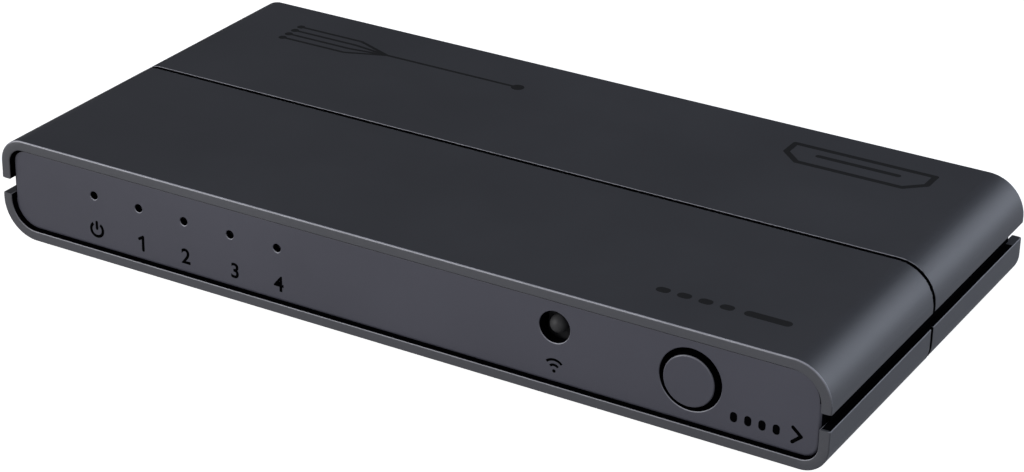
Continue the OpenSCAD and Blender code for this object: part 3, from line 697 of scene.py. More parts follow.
# Near-black that reflects nothing: painted shade inside the shells, in the groove and side slots, on the
# panels' borders and hole walls, and round the button; also the bare black of hidden panel backs and sides.
SHADE_BLACK = moulded("shade_black", (0.0016, 0.0016, 0.002), 0.8, grain_scale=3500.0, mirror=0.0)
SOCKET_BLACK = moulded("socket_black", (0.008, 0.008, 0.009), 0.42, grain_scale=2600.0)
CHIP_RESIN = moulded("chip_resin", (0.012, 0.012, 0.013), 0.55, grain_scale=4200.0, depth=0.03)
FERRITE = moulded("ferrite_grey", (0.022, 0.022, 0.023), 0.6, grain_scale=2400.0, depth=0.04)
FOOT_RUBBER = moulded("foot_rubber", (0.011, 0.011, 0.0115), 0.78, grain_scale=2600.0, depth=0.05)
EYE_RESIN = resin("eye_resin", (0.03, 0.03, 0.031), 0.5, mirror=0.15, coat=0.0)
LAMP_RESIN = resin("lamp_resin", (0.012, 0.012, 0.014), 0.22, mirror=0.35, coat=0.5)
PLATED_SHEET = metal("plated_sheet", (0.62, 0.62, 0.63), (0.42, 0.41, 0.4), 0.3)
GILT_CONTACT = metal("gilt_contact", (0.75, 0.52, 0.17), (0.55, 0.34, 0.1), 0.26)
PIN_STEEL = metal("pin_steel", (0.66, 0.66, 0.67), (0.45, 0.45, 0.46), 0.24)
CAN_ALUMINIUM = metal(
    "can_aluminium", (0.7, 0.71, 0.72), (0.55, 0.55, 0.56), 0.34, lines=(9000.0, 9000.0, 300.0)
)
SCREW_STEEL = metal("screw_steel", (0.24, 0.24, 0.245), (0.13, 0.13, 0.13), 0.38)
BOARD_LACQUER = board_lacquer()
MARK_INK = moulded("mark_ink", (0.0012, 0.0012, 0.0014), 0.8, grain_scale=6000.0, depth=0.004, mirror=0.0)
TONAL_INK = moulded("tonal_ink", (0.014, 0.0143, 0.0155), 0.6, grain_scale=6000.0, depth=0.004, mirror=0.2)


# Case

def corner_radius(x, z):
    """The radius of the long edge nearest to a place: the lower half is the upper one turned round."""
    return BROAD_R if (x > 0) == (z > MID) else TIGHT_R


def in_from_outline(point):
    """How far a point lies inside the case's outer outline, seen from the front."""
    radius = corner_radius(point.x, point.z)
    from_x = abs(point.x) - (HALF_W - radius)
    from_z = abs(point.z - MID) - (HALF_H - radius)
    if from_x > 0 and from_z > 0:
        return radius - math.hypot(from_x, from_z)
    return min(HALF_W - abs(point.x), HALF_H - abs(point.z - MID))


def round_corner(piece, side, edge_z, inset):
    """Rounds one long edge of a piece with the case's section, taken in by inset."""
    pick_edges(piece, lambda p: near(p.z, edge_z) and p.x * side > 0, along=(0, 1, 0), sharper_than=60)
    round_picked(corner_radius(side, edge_z) - inset, ROUND_STEPS)


def case_sheet(name, inset, half_depth, edge_z, open_z):
    """Half of the case's section as an open sheet: a flat with two rounded long edges and two sides."""
    sheet = add_block(name, (-HALF_W + inset, -half_depth, edge_z), (HALF_W - inset, half_depth, open_z))
    with shaping(sheet):
        for side in (-1, 1):
            round_corner(sheet, side, edge_z, inset)
        remove_faces(sheet, at_z(open_z), at_y(-half_depth), at_y(half_depth))
    return sheet


def case_half(name, edge_z, open_z, outer_wear_highlight, inner_wear_highlight):
    """One half shell with its wall, softened rims and softened slot edges."""
    shell = case_sheet(name, 0, RIM, edge_z, open_z)
    apply_modifier(shell, "SOLIDIFY", thickness=WALL, offset=-1, use_even_offset=True)

    def outside(point):
        return in_from_outline(point) < WALL / 2

    # Rims and slot edges get edge wear with a painted highlight, by the amounts given.
    for end in (-RIM, RIM):
        soften(shell, lambda p: outside(p) and near(p.y, end), RIM_EDGE, wear_highlight=outer_wear_highlight)
    soften(shell, lambda p: outside(p) and near(p.z, open_z), SLOT_EDGE, wear_highlight=outer_wear_highlight)
    soften(shell, lambda p: not outside(p), RIM_INNER_EDGE, wear_highlight=inner_wear_highlight)
    return shell


def cut_groove(shell, edge_z, open_z):
    """The fine groove round the shell at mid depth, with its edges eased and given edge wear with a painted
    highlight.
    """
    past = open_z + math.copysign(OVER, open_z - edge_z)
    deep = edge_z + math.copysign(GROOVE_DEPTH, open_z - edge_z)
    ring = case_sheet("groove_ring", GROOVE_DEPTH, GROOVE_W / 2, deep, past)
    apply_modifier(ring, "SOLIDIFY", thickness=OVER, offset=1, use_even_offset=True)
    cut(shell, ring)
    soften(
        shell,
        lambda p: near(abs(p.y), GROOVE_W / 2) and in_from_outline(p) < GROOVE_DEPTH / 2,
        GROOVE_EDGE,
        steps=2,
        wear_highlight=1,
    )


def panel_ribs(low_z, high_z):
    """The two ribs across the case that back the panels."""
    ribs = []
    for side, back in ((-1, FRONT_BACK), (1, REAR_BACK)):
        outer = back - side * SEAT_GAP
        inner = outer - side * RIB_T
        ribs.append(add_slab("panel_rib", 0, RIB_L, outer, inner, low_z, high_z))
    return ribs


def screw_boss(x, y):
    """A boss below the roof with the pilot hole that its screw bites into."""
    return stepped_rod("screw_boss", (x, y, IN_ROOF), (x, y, BOARD_TOP), (x, y, PILOT_TOP), BOSS_R, PILOT_R)


def paint_inside_shade(shell, open_z):
    """Paints the inside of a shell and its groove black, as painted shade."""
    depth = RIM - RIM_INNER_EDGE
    paint_faces(shell, 1, lambda c: in_from_outline(c) > WALL - INNER_SKIN and abs(c.y) < depth)

    def in_groove(c):
        sunk = in_from_outline(c) > 1.5 * GROOVE_EDGE and not near(c.z, open_z)
        return sunk and abs(c.y) < GROOVE_W / 2 + NEAR

    paint_faces(shell, 1, in_groove)


def make_upper_shell():
    shell = case_half("upper_shell_moulding", CROWN_SKIN, SLOT_HIGH, outer_wear_highlight=1, inner_wear_highlight=1)
    fuse(shell, *panel_ribs(ROOF - RIB_H, IN_ROOF), *[screw_boss(x, y) for x, y in SCREW_PLACES])
    cut_groove(shell, CROWN_SKIN, SLOT_HIGH)
    paint(shell, SHELL_FINISH, SHADE_BLACK)
    paint_inside_shade(shell, SLOT_HIGH)
    hand_over(shell, "shell_plastic", "upper_shell")


def slot_rail(side):
    """The rail behind one side slot, standing on the lower shell's wall."""
    outer = side * (HALF_W - SLOT_DEPTH)
    start = (outer, FRONT_BACK + SEAT_GAP, RAIL_LOW)
    return add_block("slot_rail", start, (outer - side * RAIL_T, REAR_BACK - SEAT_GAP, SLOT_HIGH - SLOT_GAP))


def split_ledge(shell):
    """Parts the wall's top near its ends, so that the length between them can take black painted shade."""
    for y in (LEDGE_LEFT, LEDGE_RIGHT, LEDGE_REAR):
        with shaping(shell):
            pick_faces(shell, at_z(SLOT_LOW))
            bpy.ops.mesh.bisect(plane_co=(0, y, 0), plane_no=(0, 1, 0))


def make_lower_shell():
    shell = case_half("lower_shell_moulding", UNDERSIDE, SLOT_LOW, outer_wear_highlight=0.45, inner_wear_highlight=0.8)
    fuse(shell, slot_rail(-1), slot_rail(1))
    pegs = []
    for x in (-TAB_X, TAB_X):
        for y in (FRONT_BACK + PEG_FROM_BACK, REAR_BACK - PEG_FROM_BACK):
            pegs.append(add_post("tab_peg", x, y, IN_FLOOR, FLOOR + PEG_H, PEG_R, PEG_SIDES))
    posts = [add_post("screw_post", x, y, IN_FLOOR, BOARD_LOW, POST_R) for x, y in SCREW_PLACES]
    fuse(shell, *panel_ribs(IN_FLOOR, FLOOR + RIB_H), *pegs, *posts)
    pockets = [
        stepped_rod(
            "screw_pocket", (x, y, 0), (x, y, POCKET_TOP), (x, y, BOARD_LOW + OVER), POCKET_R, SCREW_HOLE_R
        )
        for x, y in SCREW_PLACES
    ]
    seats = []
    for foot in FEET:
        x, y, _ = middle_of(foot)
        seats.append(add_post("foot_seat", x, y, 0, FOOT_HIGH.z, FOOT_R + FOOT_SEAT_GAP))
    cut(shell, *pockets, *seats)
    soften(
        shell,
        lambda p: near(p.z, UNDERSIDE) and abs(p.x) < HALF_W - BROAD_R and GROOVE_W < abs(p.y) < RIM - OVER,
        HOLE_EDGE,
    )
    cut_groove(shell, UNDERSIDE, SLOT_LOW)
    split_ledge(shell)
    paint(shell, SHELL_FINISH, SHADE_BLACK)
    paint_inside_shade(shell, SLOT_LOW)

    # Black painted shade in the side slots: the wall's top and the rails, between the places where the ledge
    # was parted.
    def on_shaded_ledge(c):
        front = LEDGE_LEFT if c.x < 0 else LEDGE_RIGHT
        return c.z > SLOT_LOW - NEAR and front < c.y < LEDGE_REAR

    paint_faces(shell, 1, on_shaded_ledge)
    hand_over(shell, "shell_plastic", "lower_shell")


# End panels

def panel_plate(name, face, back):
    """A plate with the case's section and two tabs over the pegs."""
    half_w = HALF_W - PANEL_INSET
    plate = add_block(name, (-half_w, face, PANEL_LOW), (half_w, back, PANEL_HIGH))
    with shaping(plate):
        for side in (-1, 1):
            for edge_z in (PANEL_LOW, PANEL_HIGH):
                round_corner(plate, side, edge_z, PANEL_INSET)
    inward = math.copysign(1, back - face)
    root, tip = back - inward * PANEL_T / 2, back + inward * TAB_L
    tabs = [add_slab("panel_tab", x, TAB_W, root, tip, PANEL_LOW, FLOOR + TAB_T) for x in (-TAB_X, TAB_X)]
    fuse(plate, *tabs)
    peg_y = back + inward * PEG_FROM_BACK
    holes = [
        add_post("peg_hole", x, peg_y, FLOOR - OVER, FLOOR + TAB_T + OVER, PEG_R + SEAT_GAP, PEG_SIDES)
        for x in (-TAB_X, TAB_X)
    ]
    cut(plate, *holes)
    soften(plate, lambda p: near(p.y, face) and in_from_outline(p) < PANEL_INSET + NEAR, PANEL_EDGE, steps=6)
    return plate


def paint_panel(plate, face):
    """Finish on the face and its hole edges; black painted shade on the hole walls and most of the rounded
    border, more of it above mid height; bare black on the sides and the back.
    """
    paint(plate, PANEL_FINISH, SHADE_BLACK)

    # Black painted shade on the hole walls and the rounded border; the sides and back are bare black.
    def is_shaded_or_bare(c):
        deep = abs(c.y - face)
        if in_from_outline(c) > PANEL_INSET + PANEL_EDGE:
            return deep > HOLE_EDGE
        return deep > BORDER_SHADE_DEPTH[c.z > MID]

    paint_faces(plate, 1, is_shaded_or_bare)


def make_front_panel():
    plate = panel_plate("front_panel_moulding", FRONT_FACE, FRONT_BACK)
    collar_end = FRONT_BACK + COLLAR_L
    root = FRONT_FACE + PANEL_T / 2
    collar = add_pin("button_collar", BUTTON_X, BUTTON_Z, root, collar_end, COLLAR_OUT_R)
    with shaping(collar):
        slice_off((0, 0, PANEL_LOW), (0, 0, -1))
    fuse(plate, collar)
    cut(plate, add_pin("collar_bore", BUTTON_X, BUTTON_Z, FRONT_BACK, collar_end + OVER, COLLAR_IN_R))
    front, back = FRONT_FACE - OVER, FRONT_BACK + OVER
    pinholes = []
    for x in LAMP_X:
        places = [(x, y, LAMP_Z) for y in (back, FRONT_FACE + LAMP_SKIN, front)]
        pinholes.append(stepped_rod("lamp_pinhole", *places, LAMP_POCKET_R, PINHOLE_R))
    cut(
        plate,
        add_pin("eye_hole", EYE_X, EYE_Z, front, back, EYE_HOLE_R),
        add_pin("button_hole", BUTTON_X, BUTTON_Z, front, back, BUTTON_HOLE_R),
        *pinholes,
    )
    # Hole edges get edge wear with a painted highlight, strongest on the lower edges that face up.
    soften(plate, at_y(FRONT_FACE), HOLE_EDGE, wear_highlight=1)
    paint_panel(plate, FRONT_FACE)
    hand_over(plate, "panel_plastic", "front_panel")


# Front pieces

def make_button():
    """Cap, flange and stem drawn out of one round bar."""
    low, high = box("select_button")
    centre = Vector((BUTTON_X, 0, BUTTON_Z))
    button = add_pin("select_button_cap", BUTTON_X, BUTTON_Z, low.y, FRONT_BACK, BUTTON_R, BUTTON_SIDES)
    stem_l = high.y - FRONT_BACK - FLANGE_T
    with shaping(button):
        pick_edges(button, at_y(low.y))
        round_picked(BUTTON_EDGE, 6)
        # The cap's rounded edge gets edge wear with a painted highlight, most along its upper edge.
        mark_wear_highlight(button, BUTTON_EDGE, BUTTON_WEAR_HIGHLIGHT)
        pick_faces(button, at_y(FRONT_BACK))
        for growth, step in ((FLANGE_R / BUTTON_R, FLANGE_T), (STEM_R / FLANGE_R, stem_l)):
            extrude((0, 0, 0))
            bpy.ops.transform.resize(value=(growth, 1, growth), center_override=centre)
            extrude((0, step, 0))
    paint(button, BUTTON_FINISH, SHADE_BLACK)
    # Black painted shade on the cap's sides, the flange and the stem, so the gap round the cap stays dark.
    paint_faces(button, 1, lambda c: c.y > FRONT_FACE + HOLE_EDGE)
    hand_over(button, "button_plastic", "select_button", body="button")


def make_snap_dome():
    """The switch's sheet dome, cut from a hollow ball. On the real switch it flattens as the button goes in.
    """
    low, high = box("tact_dome")
    rise = high.y - low.y
    radius = ((high.x - low.x) ** 2 / 4 + rise**2) / (2 * rise)
    centre = Vector((BUTTON_X, low.y + radius, BUTTON_Z))
    dome = add_ball("snap_dome", centre, radius)
    cut(dome, add_ball("dome_hollow", centre, radius - DOME_T))
    reach = Vector((1, 1, 1)) * (radius + OVER)
    corner = centre - reach
    corner.y = high.y
    cut(dome, add_block("dome_rest", corner, centre + reach))
    paint(dome, PLATED_SHEET)
    hand_over(dome, "plated_sheet", "tact_dome")
    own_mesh(dome)


def make_remote_eye():
    """Receiver block with a domed lens, on three legs."""
    low, high = box("remote_eye")
    front = high.y - EYE_BLOCK_L
    block = add_block("remote_eye_block", (low.x, front, BOARD_TOP), (high.x, high.y, high.z))
    soften(block, lambda p: True, EYE_BLOCK_EDGE, steps=2)
    middle = front + EYE_BLOCK_L / 2
    lens = add_pin("eye_lens", EYE_X, EYE_Z, low.y, middle, EYE_LENS_R)
    soften(lens, at_y(low.y), EYE_LENS_ROUND, steps=12)
    leg_front = middle - LEAD_W / 2
    legs = [
        add_slab("eye_leg", x, LEAD_W, leg_front, leg_front + LEAD_W, low.z, BOARD_TOP + OVER)
        for x in (EYE_X - LEAD_SPAN, EYE_X, EYE_X + LEAD_SPAN)
    ]
    fuse(block, lens)
    fuse(block, *legs)
    paint(block, EYE_RESIN, SOCKET_BLACK, PLATED_SHEET)
    paint_faces(block, 1, lambda c: c.y > front - NEAR)
    paint_faces(block, 2, lambda c: c.z < BOARD_TOP - NEAR)
    hand_over(block, "eye_plastic", "remote_eye")


# Rear pieces

def port_centre(port):
    """The middle of a port's mouth, at no depth."""
    shell = f"port_shell_{port}"
    return Vector((middle_of(shell).x, 0, box(shell)[1].z - PORT_SHEET - PORT_H / 2))


def port_bar(name, centre, start, end, grow):
    """A bar with the section of a port's mouth, grown on all sides: flat on top, lower corners slanted."""
    half_h = PORT_H / 2 + grow
    bar = add_slab(name, centre.x, PORT_W + 2 * grow, start, end, centre.z - half_h, centre.z + half_h)
    rise, run = PORT_H - PORT_SIDE_H, (PORT_W - PORT_FOOT_W) / 2
    with shaping(bar):
        for side in (-1, 1):
            outward = Vector((side * rise, 0, -run)).normalized()
            corner = centre + Vector((side * PORT_W / 2, 0, PORT_H / 2 - PORT_SIDE_H))
            slice_off(corner + grow * outward, outward)
        pick_edges(bar, lambda p: True, along=(0, 1, 0))
        round_picked(PORT_CORNER_R + grow, 4)
    return bar


def make_rear_panel():
    plate = panel_plate("rear_panel_moulding", REAR_FACE, REAR_BACK)
    grow = PORT_SHEET + PORT_GAP
    back, front = REAR_BACK - OVER, REAR_FACE + OVER
    mouths = [port_bar("port_opening", port_centre(port), back, front, grow) for port in PORTS]
    nose_hole = add_pin("nose_hole", POWER_X, POWER_Z, back, front, NOSE_HOLE_R)
    cut(plate, nose_hole, *mouths)
    soften(plate, at_y(REAR_FACE), HOLE_EDGE)
    paint_panel(plate, REAR_FACE)
    hand_over(plate, "panel_plastic", "rear_panel")


def port_sheet(centre, name):
    """A folded sheet-metal socket with four legs through the board."""
    sheet = port_bar(name, centre, PORT_BACK, PORT_MOUTH, 0)
    with shaping(sheet):
        remove_faces(sheet, at_y(PORT_BACK), at_y(PORT_MOUTH))
    apply_modifier(sheet, "SOLIDIFY", thickness=PORT_SHEET, offset=1, use_even_offset=True)
    legs = []
    for side in (-1, 1):
        inner = centre.x + side * PORT_W / 2
        for y in PORT_LEG_Y:
            foot = (inner, y - PORT_LEG_W / 2, box("port_shell_out")[0].z)
            root = (inner + side * PORT_SHEET, y + PORT_LEG_W / 2, centre.z + PORT_H / 4)
            legs.append(add_block("port_leg", foot, root))
    fuse(sheet, *legs)
    soften(sheet, at_y(PORT_MOUTH), PORT_EDGE, steps=2)
    paint(sheet, PLATED_SHEET)
    return sheet


def port_core(centre, name):
    """The black moulding in a port: a plug, a tail for the contacts, and the tongue that carries them."""
    low, high = box("port_core_out")
    core = port_bar(name, centre, PORT_BACK, PORT_BACK + CORE_L, -CORE_GAP)
    root = PORT_BACK + CORE_L - OVER
    under = centre.z + TONGUE_LIFT - TONGUE_T / 2
    tongue = add_slab("port_tongue", centre.x, TONGUE_W, root, high.y, under, under + TONGUE_T)
    soften(tongue, at_y(high.y), TONGUE_EDGE)
    tail_top = centre.z + TAIL_TOP
    tail = add_slab("port_tail", centre.x, TAIL_W, low.y, PORT_BACK + OVER, low.z, tail_top)
    fuse(core, tongue)
    fuse(core, tail)
    paint(core, SOCKET_BLACK)
    return core


def make_ports():
    """One port modelled and copied to each place along the rear."""
    first = port_centre("out")
    sheet = port_sheet(first, "port_sheet_out")
    core = port_core(first, "port_moulding_out")
    sheets, cores = [sheet], [core]
    for port in PORTS[1:]:
        shift = port_centre(port) - first
        sheets.append(copied(sheet, f"port_sheet_{port}", shift))
        cores.append(copied(core, f"port_moulding_{port}", shift))
    for port, sheet, core in zip(PORTS, sheets, cores):
        hand_over(sheet, "plated_sheet", f"port_shell_{port}")
        hand_over(core, "black_moulding", f"port_core_{port}")


def make_power_socket():
    """A moulded block with a round nose through the panel and a bore for the plug."""
    low, high = box("power_socket")
    block = add_block("power_socket_moulding", low, (high.x, POWER_FACE, high.z))
    soften(block, lambda p: True, POWER_EDGE)
    fuse(block, add_pin("socket_nose", POWER_X, POWER_Z, POWER_FACE - OVER, high.y, NOSE_R))
    cut(block, add_pin("plug_bore", POWER_X, POWER_Z, low.y + POWER_BACK_WALL, high.y + OVER, BORE_R))
    end, under = POWER_FACE - POWER_L / 4, POWER_Z - BORE_R - SPRING_SLOT_H
    cut(block, add_slab("spring_slot", POWER_X, SPRING_SLOT_W, low.y - OVER, end, under, POWER_Z))
    soften(block, at_y(high.y), NOSE_EDGE)
    paint(block, SOCKET_BLACK)
    hand_over(block, "black_moulding", "power_socket")


# Underside

def make_feet():
    """One rubber foot with an eased tread and a dished middle, copied to the other corners."""
    middle = middle_of(FEET[0])
    tread = FOOT_LOW.z
    foot = add_post("rubber_foot", middle.x, middle.y, tread, FOOT_HIGH.z, FOOT_R)
    with shaping(foot):
        pick_edges(foot, at_z(tread))
        round_picked(TREAD_EDGE, EDGE_STEPS)
        pick_faces(foot, at_z(tread))
        bpy.ops.mesh.inset(thickness=FOOT_R / 3)
        extrude((0, 0, DISH_DEPTH))
        bpy.ops.transform.resize(value=(DISH_TAPER, DISH_TAPER, 1), center_override=middle)
    paint(foot, FOOT_RUBBER)
    feet = [copied(foot, f"rubber_{name}", box(name)[0] - FOOT_LOW) for name in FEET[1:]]
    foot.name = foot.data.name = f"rubber_{FEET[0]}"
    for name, piece in zip(FEET, [foot, *feet]):
        hand_over(piece, "foot_rubber", name)


def make_screws():
    """One pan-head screw with a cross recess, copied to the other three pockets."""
    x, y = SCREW_PLACES[0]
    head = POCKET_TOP - SCREW_HEAD_H
    tip = POCKET_TOP + SCREW_L
    places = [(x, y, z) for z in (head, POCKET_TOP, tip)]
    screw = stepped_rod("case_screw_set", *places, SCREW_HEAD_R, SCREW_R)
    soften(screw, at_z(head), SCREW_HEAD_ROUND, steps=6)
    mouth, bottom = Vector((x, y, head - OVER)), Vector((x, y, head + DRIVE_DEPTH))
    for length, width in ((DRIVE_L, DRIVE_W), (DRIVE_W, DRIVE_L)):
        reach = Vector((length / 2, width / 2, 0))
        cut(screw, add_block("drive_slot", mouth - reach, bottom + reach))
    soften(screw, at_z(tip), SCREW_TIP_EDGE)
    paint(screw, SCREW_STEEL)
    others = [copied(screw, "case_screw", (px - x, py - y, 0)) for px, py in SCREW_PLACES[1:]]
    screws = joined([screw, *others])
    hand_over(screws, "screw_steel", "case_screws")


# Printed marks, drawn flat in millimetres and then laid on their surface

def ink_bar(start, end, width):
    """A straight stroke with round ends."""
    start, end = Vector((*start, 0)) * MM, Vector((*end, 0)) * MM
    run = end - start
    deselect_all()
    bpy.ops.mesh.primitive_cube_add(
        size=1,
        location=(start + end) / 2,
        rotation=(0, 0, math.atan2(run.y, run.x)),
        scale=(run.length + width * MM, width * MM, MARK_T),
    )
    bar = settled("ink_bar")
    with shaping(bar):
        pick_edges(bar, lambda p: True, along=(0, 0, 1))
        round_picked(STROKE_ROUND * width * MM, 4)
    return bar


def ink_spot(centre, width):
    x, y = centre
    return ink_bar((x, y), (x + 0.01, y), width)


def ink_arc(centre, radius, width, start, sweep):
    """A curved stroke: a short upright face spun about its centre, angles in degrees from the right."""
    middle = Vector((*centre, 0)) * MM
    angle = math.radians(start)
    reach = Vector((math.cos(angle), math.sin(angle), 0)) * radius * MM
    deselect_all()
    bpy.ops.mesh.primitive_plane_add(size=1, location=middle + reach, rotation=(math.pi / 2, 0, angle))
    bpy.context.object.scale = (width * MM, MARK_T, 1)
    arc = settled("ink_arc")
    with shaping(arc):
        pick_all()
        bpy.ops.mesh.spin(
            steps=max(6, round(sweep / ARC_STEP)), angle=math.radians(-sweep), center=middle, axis=(0, 0, 1)
        )
        pick_all()
        bpy.ops.mesh.remove_doubles(threshold=NEAR / 4)
        bpy.ops.mesh.normals_make_consistent(inside=False)
    return arc


def ink_digit(digit, centre, height):
    """A plain number in a heavy stroke."""
    deselect_all()
    bpy.ops.object.text_add()
    letter = bpy.context.object.data
    letter.body, letter.extrude, letter.offset = digit, 0.5, 0.02
    bpy.ops.object.convert(target="MESH")
    bpy.ops.object.origin_set(type="ORIGIN_GEOMETRY", center="BOUNDS")
    piece = bpy.context.object
    grow = height * MM / piece.dimensions.y
    piece.scale = (grow, grow, MARK_T)
    piece.location = Vector((*centre, 0)) * MM
    settled("ink_digit")
    with shaping(piece):
        pick_all()
        bpy.ops.mesh.remove_doubles(threshold=NEAR / 4)
    return piece


def inked(strokes):
    """One sign out of strokes that cross."""
    sign, *others = strokes
    for stroke in others:
        fuse(sign, stroke)
    return sign


def ink_path(points, width):
    return [ink_bar(a, b, width) for a, b in zip(points, points[1:])]


def print_on(name, signs, finish, turn, place):
    """Lays flat signs on a surface as one piece."""
    mark = joined(signs)
    mark.rotation_euler = turn
    mark.location = place
    make_active(mark)
    settled(name)
    paint(mark, finish)
    hand_over(mark, "black_moulding")


def make_front_marks():
    """Power sign and numbers below the lamps, waves below the eye, and a step sign beside the button."""
    stroke, power_x, wave_x = 0.5, -54.4, 28.6
    ring = ink_arc((power_x, 5.8), 1.15, stroke, 125, 290)
    power = [ring, ink_bar((power_x, 6.0), (power_x, 7.1), stroke)]
    one = inked(ink_path([(-46.05, 6.4), (-45.35, 6.85), (-45.35, 4.55)], stroke))
    digits = [ink_digit(digit, (x, 5.7), 2.62) for digit, x in (("2", -37.1), ("3", -27.8), ("4", -19.65))]
    waves = [ink_arc((wave_x, 4.7), r, 0.4, 45, 90) for r in (0.95, 1.8)]
    spot = ink_spot((wave_x, 4.65), 0.55)
    steps = [ink_bar((x, 5.5), (x, 6.0), 1.1) for x in (57.5, 59.7, 61.9, 64.1)]
    arrow = inked(ink_path([(66.6, 6.9), (67.9, 5.75), (66.6, 4.6)], 0.55))
    signs = [*power, one, *digits, *waves, spot, *steps, arrow]
    print_on("front_marks", signs, MARK_INK, TIPPED, (0, FRONT_FACE - FRONT_MARK_RISE, 0))


def make_top_marks():
    """Tone-on-tone signs: four lines led into one, a bare socket outline, and four spots before a bar."""
    fine, bold, heavy = 0.6, 1.0, 1.6
    route_y, pitch = 25.4, 1.9
    ways = []
    for step in (-1.5, -0.5, 0.5, 1.5):
        y = route_y + pitch * step
        ways += ink_path([(-58, y), (-46, y), (-39, route_y)], fine)
        ways.append(ink_spot((-58.6, y), 1.4))
    trunk = ink_bar((-39.2, route_y), (-14, route_y), fine)
    route = inked([trunk, ink_spot((-13.2, route_y), 2.2), *ways])
    corners = [(-12, 3.2), (12, 3.2), (12, -0.4), (9, -3.2), (-9, -3.2), (-12, -0.4), (-12, 3.2)]
    outline = inked(ink_path([(47.8 + x, 26.5 + y) for x, y in corners], bold))
    tongue = ink_bar((41, 27), (54.6, 27), bold)
    row_y = -27.5
    spots = [ink_bar((x, row_y), (x + 0.6, row_y), heavy) for x in (41.4, 44.8, 48.2, 51.6)]
    bar = ink_bar((55.4, row_y), (61.2, row_y), heavy)
    signs = [route, outline, tongue, *spots, bar]
    print_on("top_marks", signs, TONAL_INK, (0, 0, 0), (0, 0, CROWN - MARK_T / 2))


# Solids that stay as they are

def finish_kept_solids():
    """Finishes for the board and what stands on it, with plated leads on the moulded parts."""
    for finish, names in (
        (BOARD_LACQUER, ["main_board"]),
        (SOCKET_BLACK, ["tact_body", "tact_plunger"]),
        (PLATED_SHEET, ["tact_cover", "power_spring", "clock_crystal"]),
        (GILT_CONTACT, ["port_contacts"]),
        (PIN_STEEL, ["power_pin"]),
        (FERRITE, ["choke"]),
        (CAN_ALUMINIUM, ["capacitors"]),
        (CHIP_RESIN, ["surge_arrays"]),
    ):
        for name in names:
            paint(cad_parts[name], finish)
    for name in ("switch_chip", "control_chip", "regulator"):
        low, high = box(name)
        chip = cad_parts[name]
        paint(chip, CHIP_RESIN, PLATED_SHEET)
        front, back, top = low.y + CHIP_LEAD_L, high.y - CHIP_LEAD_L, low.z + CHIP_LEAD_T
        paint_faces(chip, 1, lambda c: c.z < top or not front <= c.y <= back)
    for name in LAMPS:
        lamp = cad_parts[name]
        back = box(name)[0].y + LAMP_L
        paint(lamp, LAMP_RESIN, PLATED_SHEET)
        paint_faces(lamp, 1, lambda c: c.y > back)


# Scene

MIDDLE_Z = 10 * MM
FLOOR_SIZE = 8
FLOOR_SHADE = (0.62, 0.62, 0.62, 1)
FLOOR_SEEN = 0.85
FLOOR_MIRRORED = 0.12
AIR_SHADE = (0.93, 0.96, 1.0, 1)
AIR_STRENGTH = 0.06
WHITE = (1, 1, 1, 1)


def add_softbox(name, place, size, watts, tint):
    """An area light that faces the middle of the box."""
    light = bpy.data.lights.new(name, "AREA")
    light.shape = "RECTANGLE"
    light.size, light.size_y = size
    light.energy = watts
    light.color = tint
    lamp = bpy.data.objects.new(name, light)
    bpy.context.scene.collection.objects.link(lamp)
    lamp.location = place
    lamp.rotation_euler = (Vector((0, 0, MIDDLE_Z)) - Vector(place)).to_track_quat("-Z", "Y").to_euler()


def make_floor():
    """White to the camera, pale in reflections, and darker where the object shades it."""
    deselect_all()
    bpy.ops.mesh.primitive_plane_add(size=FLOOR_SIZE, location=(0, 0, 0))
    floor = settled("studio_floor")
    finish, tree, shader = new_finish("studio_white")
    fill(tree, shader, {"Base Color": FLOOR_SHADE, "Roughness": 0.9})
    ray = node(tree, "ShaderNodeLightPath").outputs
    mirrored = math_node(tree, "MAXIMUM", ray["Is Glossy Ray"], ray["Is Transmission Ray"])
    direct = math_node(tree, "MULTIPLY", ray["Is Camera Ray"], FLOOR_SEEN)
    strength = math_node(tree, "MAXIMUM", direct, math_node(tree, "MULTIPLY", mirrored, FLOOR_MIRRORED))
    glow = node(tree, "ShaderNodeEmission", {"Color": WHITE, "Strength": strength})
    both = node(tree, "ShaderNodeAddShader", {0: shader.outputs[0], 1: glow.outputs[0]})
    below = node(tree, "ShaderNodeNewGeometry").outputs["Backfacing"]
    clear = node(tree, "ShaderNodeBsdfTransparent")
    mixed = node(tree, "ShaderNodeMixShader", {0: below, 1: both.outputs[0], 2: clear.outputs[0]})
    fill(tree, tree.nodes["Material Output"], {"Surface": mixed.outputs[0]})
    paint(floor, finish)


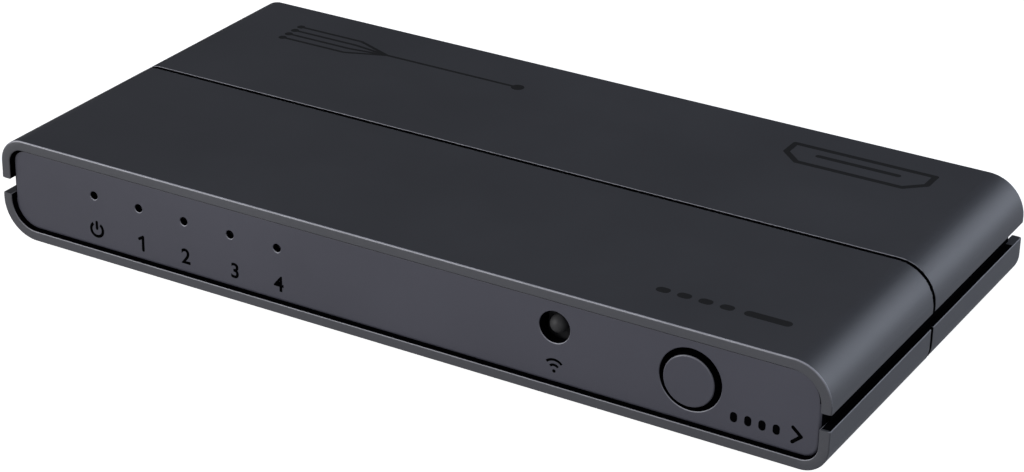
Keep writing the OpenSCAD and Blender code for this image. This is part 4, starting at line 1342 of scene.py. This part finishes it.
def make_world():
    """White behind the object, and a dim cool light from all round."""
    world = bpy.data.worlds.new("studio_air")
    bpy.context.scene.world = world
    world.use_nodes = True
    tree = world.node_tree
    back = tree.nodes["Background"]
    seen = node(tree, "ShaderNodeLightPath").outputs["Is Camera Ray"]
    dim = node(tree, "ShaderNodeBackground", {"Color": AIR_SHADE, "Strength": AIR_STRENGTH})
    fill(tree, back, {"Color": WHITE, "Strength": 1.0})
    mixed = node(tree, "ShaderNodeMixShader", {0: seen, 1: dim.outputs[0], 2: back.outputs[0]})
    fill(tree, tree.nodes["World Output"], {"Surface": mixed.outputs[0]})


def make_camera():
    """The photograph's camera, from the angles and distance fitted to it."""
    azimuth, elevation, roll = (math.radians(a) for a in (29.7992, 25.9565, 1.1737))
    target = Vector((8.174, -12.786, 11.735)) * MM
    distance = 426.607 * MM
    flat = math.cos(elevation)
    back = Vector((math.sin(azimuth) * flat, -math.cos(azimuth) * flat, math.sin(elevation)))
    level = Vector((math.cos(azimuth), math.sin(azimuth), 0))
    upright = back.cross(level)
    right = math.cos(roll) * level + math.sin(roll) * upright
    up = back.cross(right)
    lens = bpy.data.cameras.new("photo_camera")
    lens.sensor_fit = "HORIZONTAL"
    lens.sensor_width = 36
    lens.lens = 97.779
    lens.clip_start = 0.01
    camera = bpy.data.objects.new("photo_camera", lens)
    bpy.context.scene.collection.objects.link(camera)
    turn = Matrix((right, up, back)).transposed().to_4x4()
    camera.matrix_world = Matrix.Translation(target + back * distance) @ turn
    bpy.context.scene.camera = camera


def make_lights():
    add_softbox("front_left_box", (-0.5, -0.66, 0.28), (0.6, 0.4), watts=7.6, tint=(1.0, 0.99, 1.0))
    add_softbox("front_right_box", (0.4, -0.6, 0.22), (0.4, 0.3), watts=1.0, tint=(0.9, 0.92, 1.0))
    add_softbox("rear_right_strip", (0.54, 0.47, 0.32), (0.7, 0.6), watts=4.8, tint=(0.81, 0.87, 1.0))


make_camera()
make_world()
make_lights()
make_floor()
make_upper_shell()
make_lower_shell()
make_front_panel()
make_button()
make_snap_dome()
make_remote_eye()
make_rear_panel()
make_ports()
make_power_socket()
make_feet()
make_screws()
make_front_marks()
make_top_marks()
finish_kept_solids()

bpy.context.scene.view_settings.view_transform = "Standard"
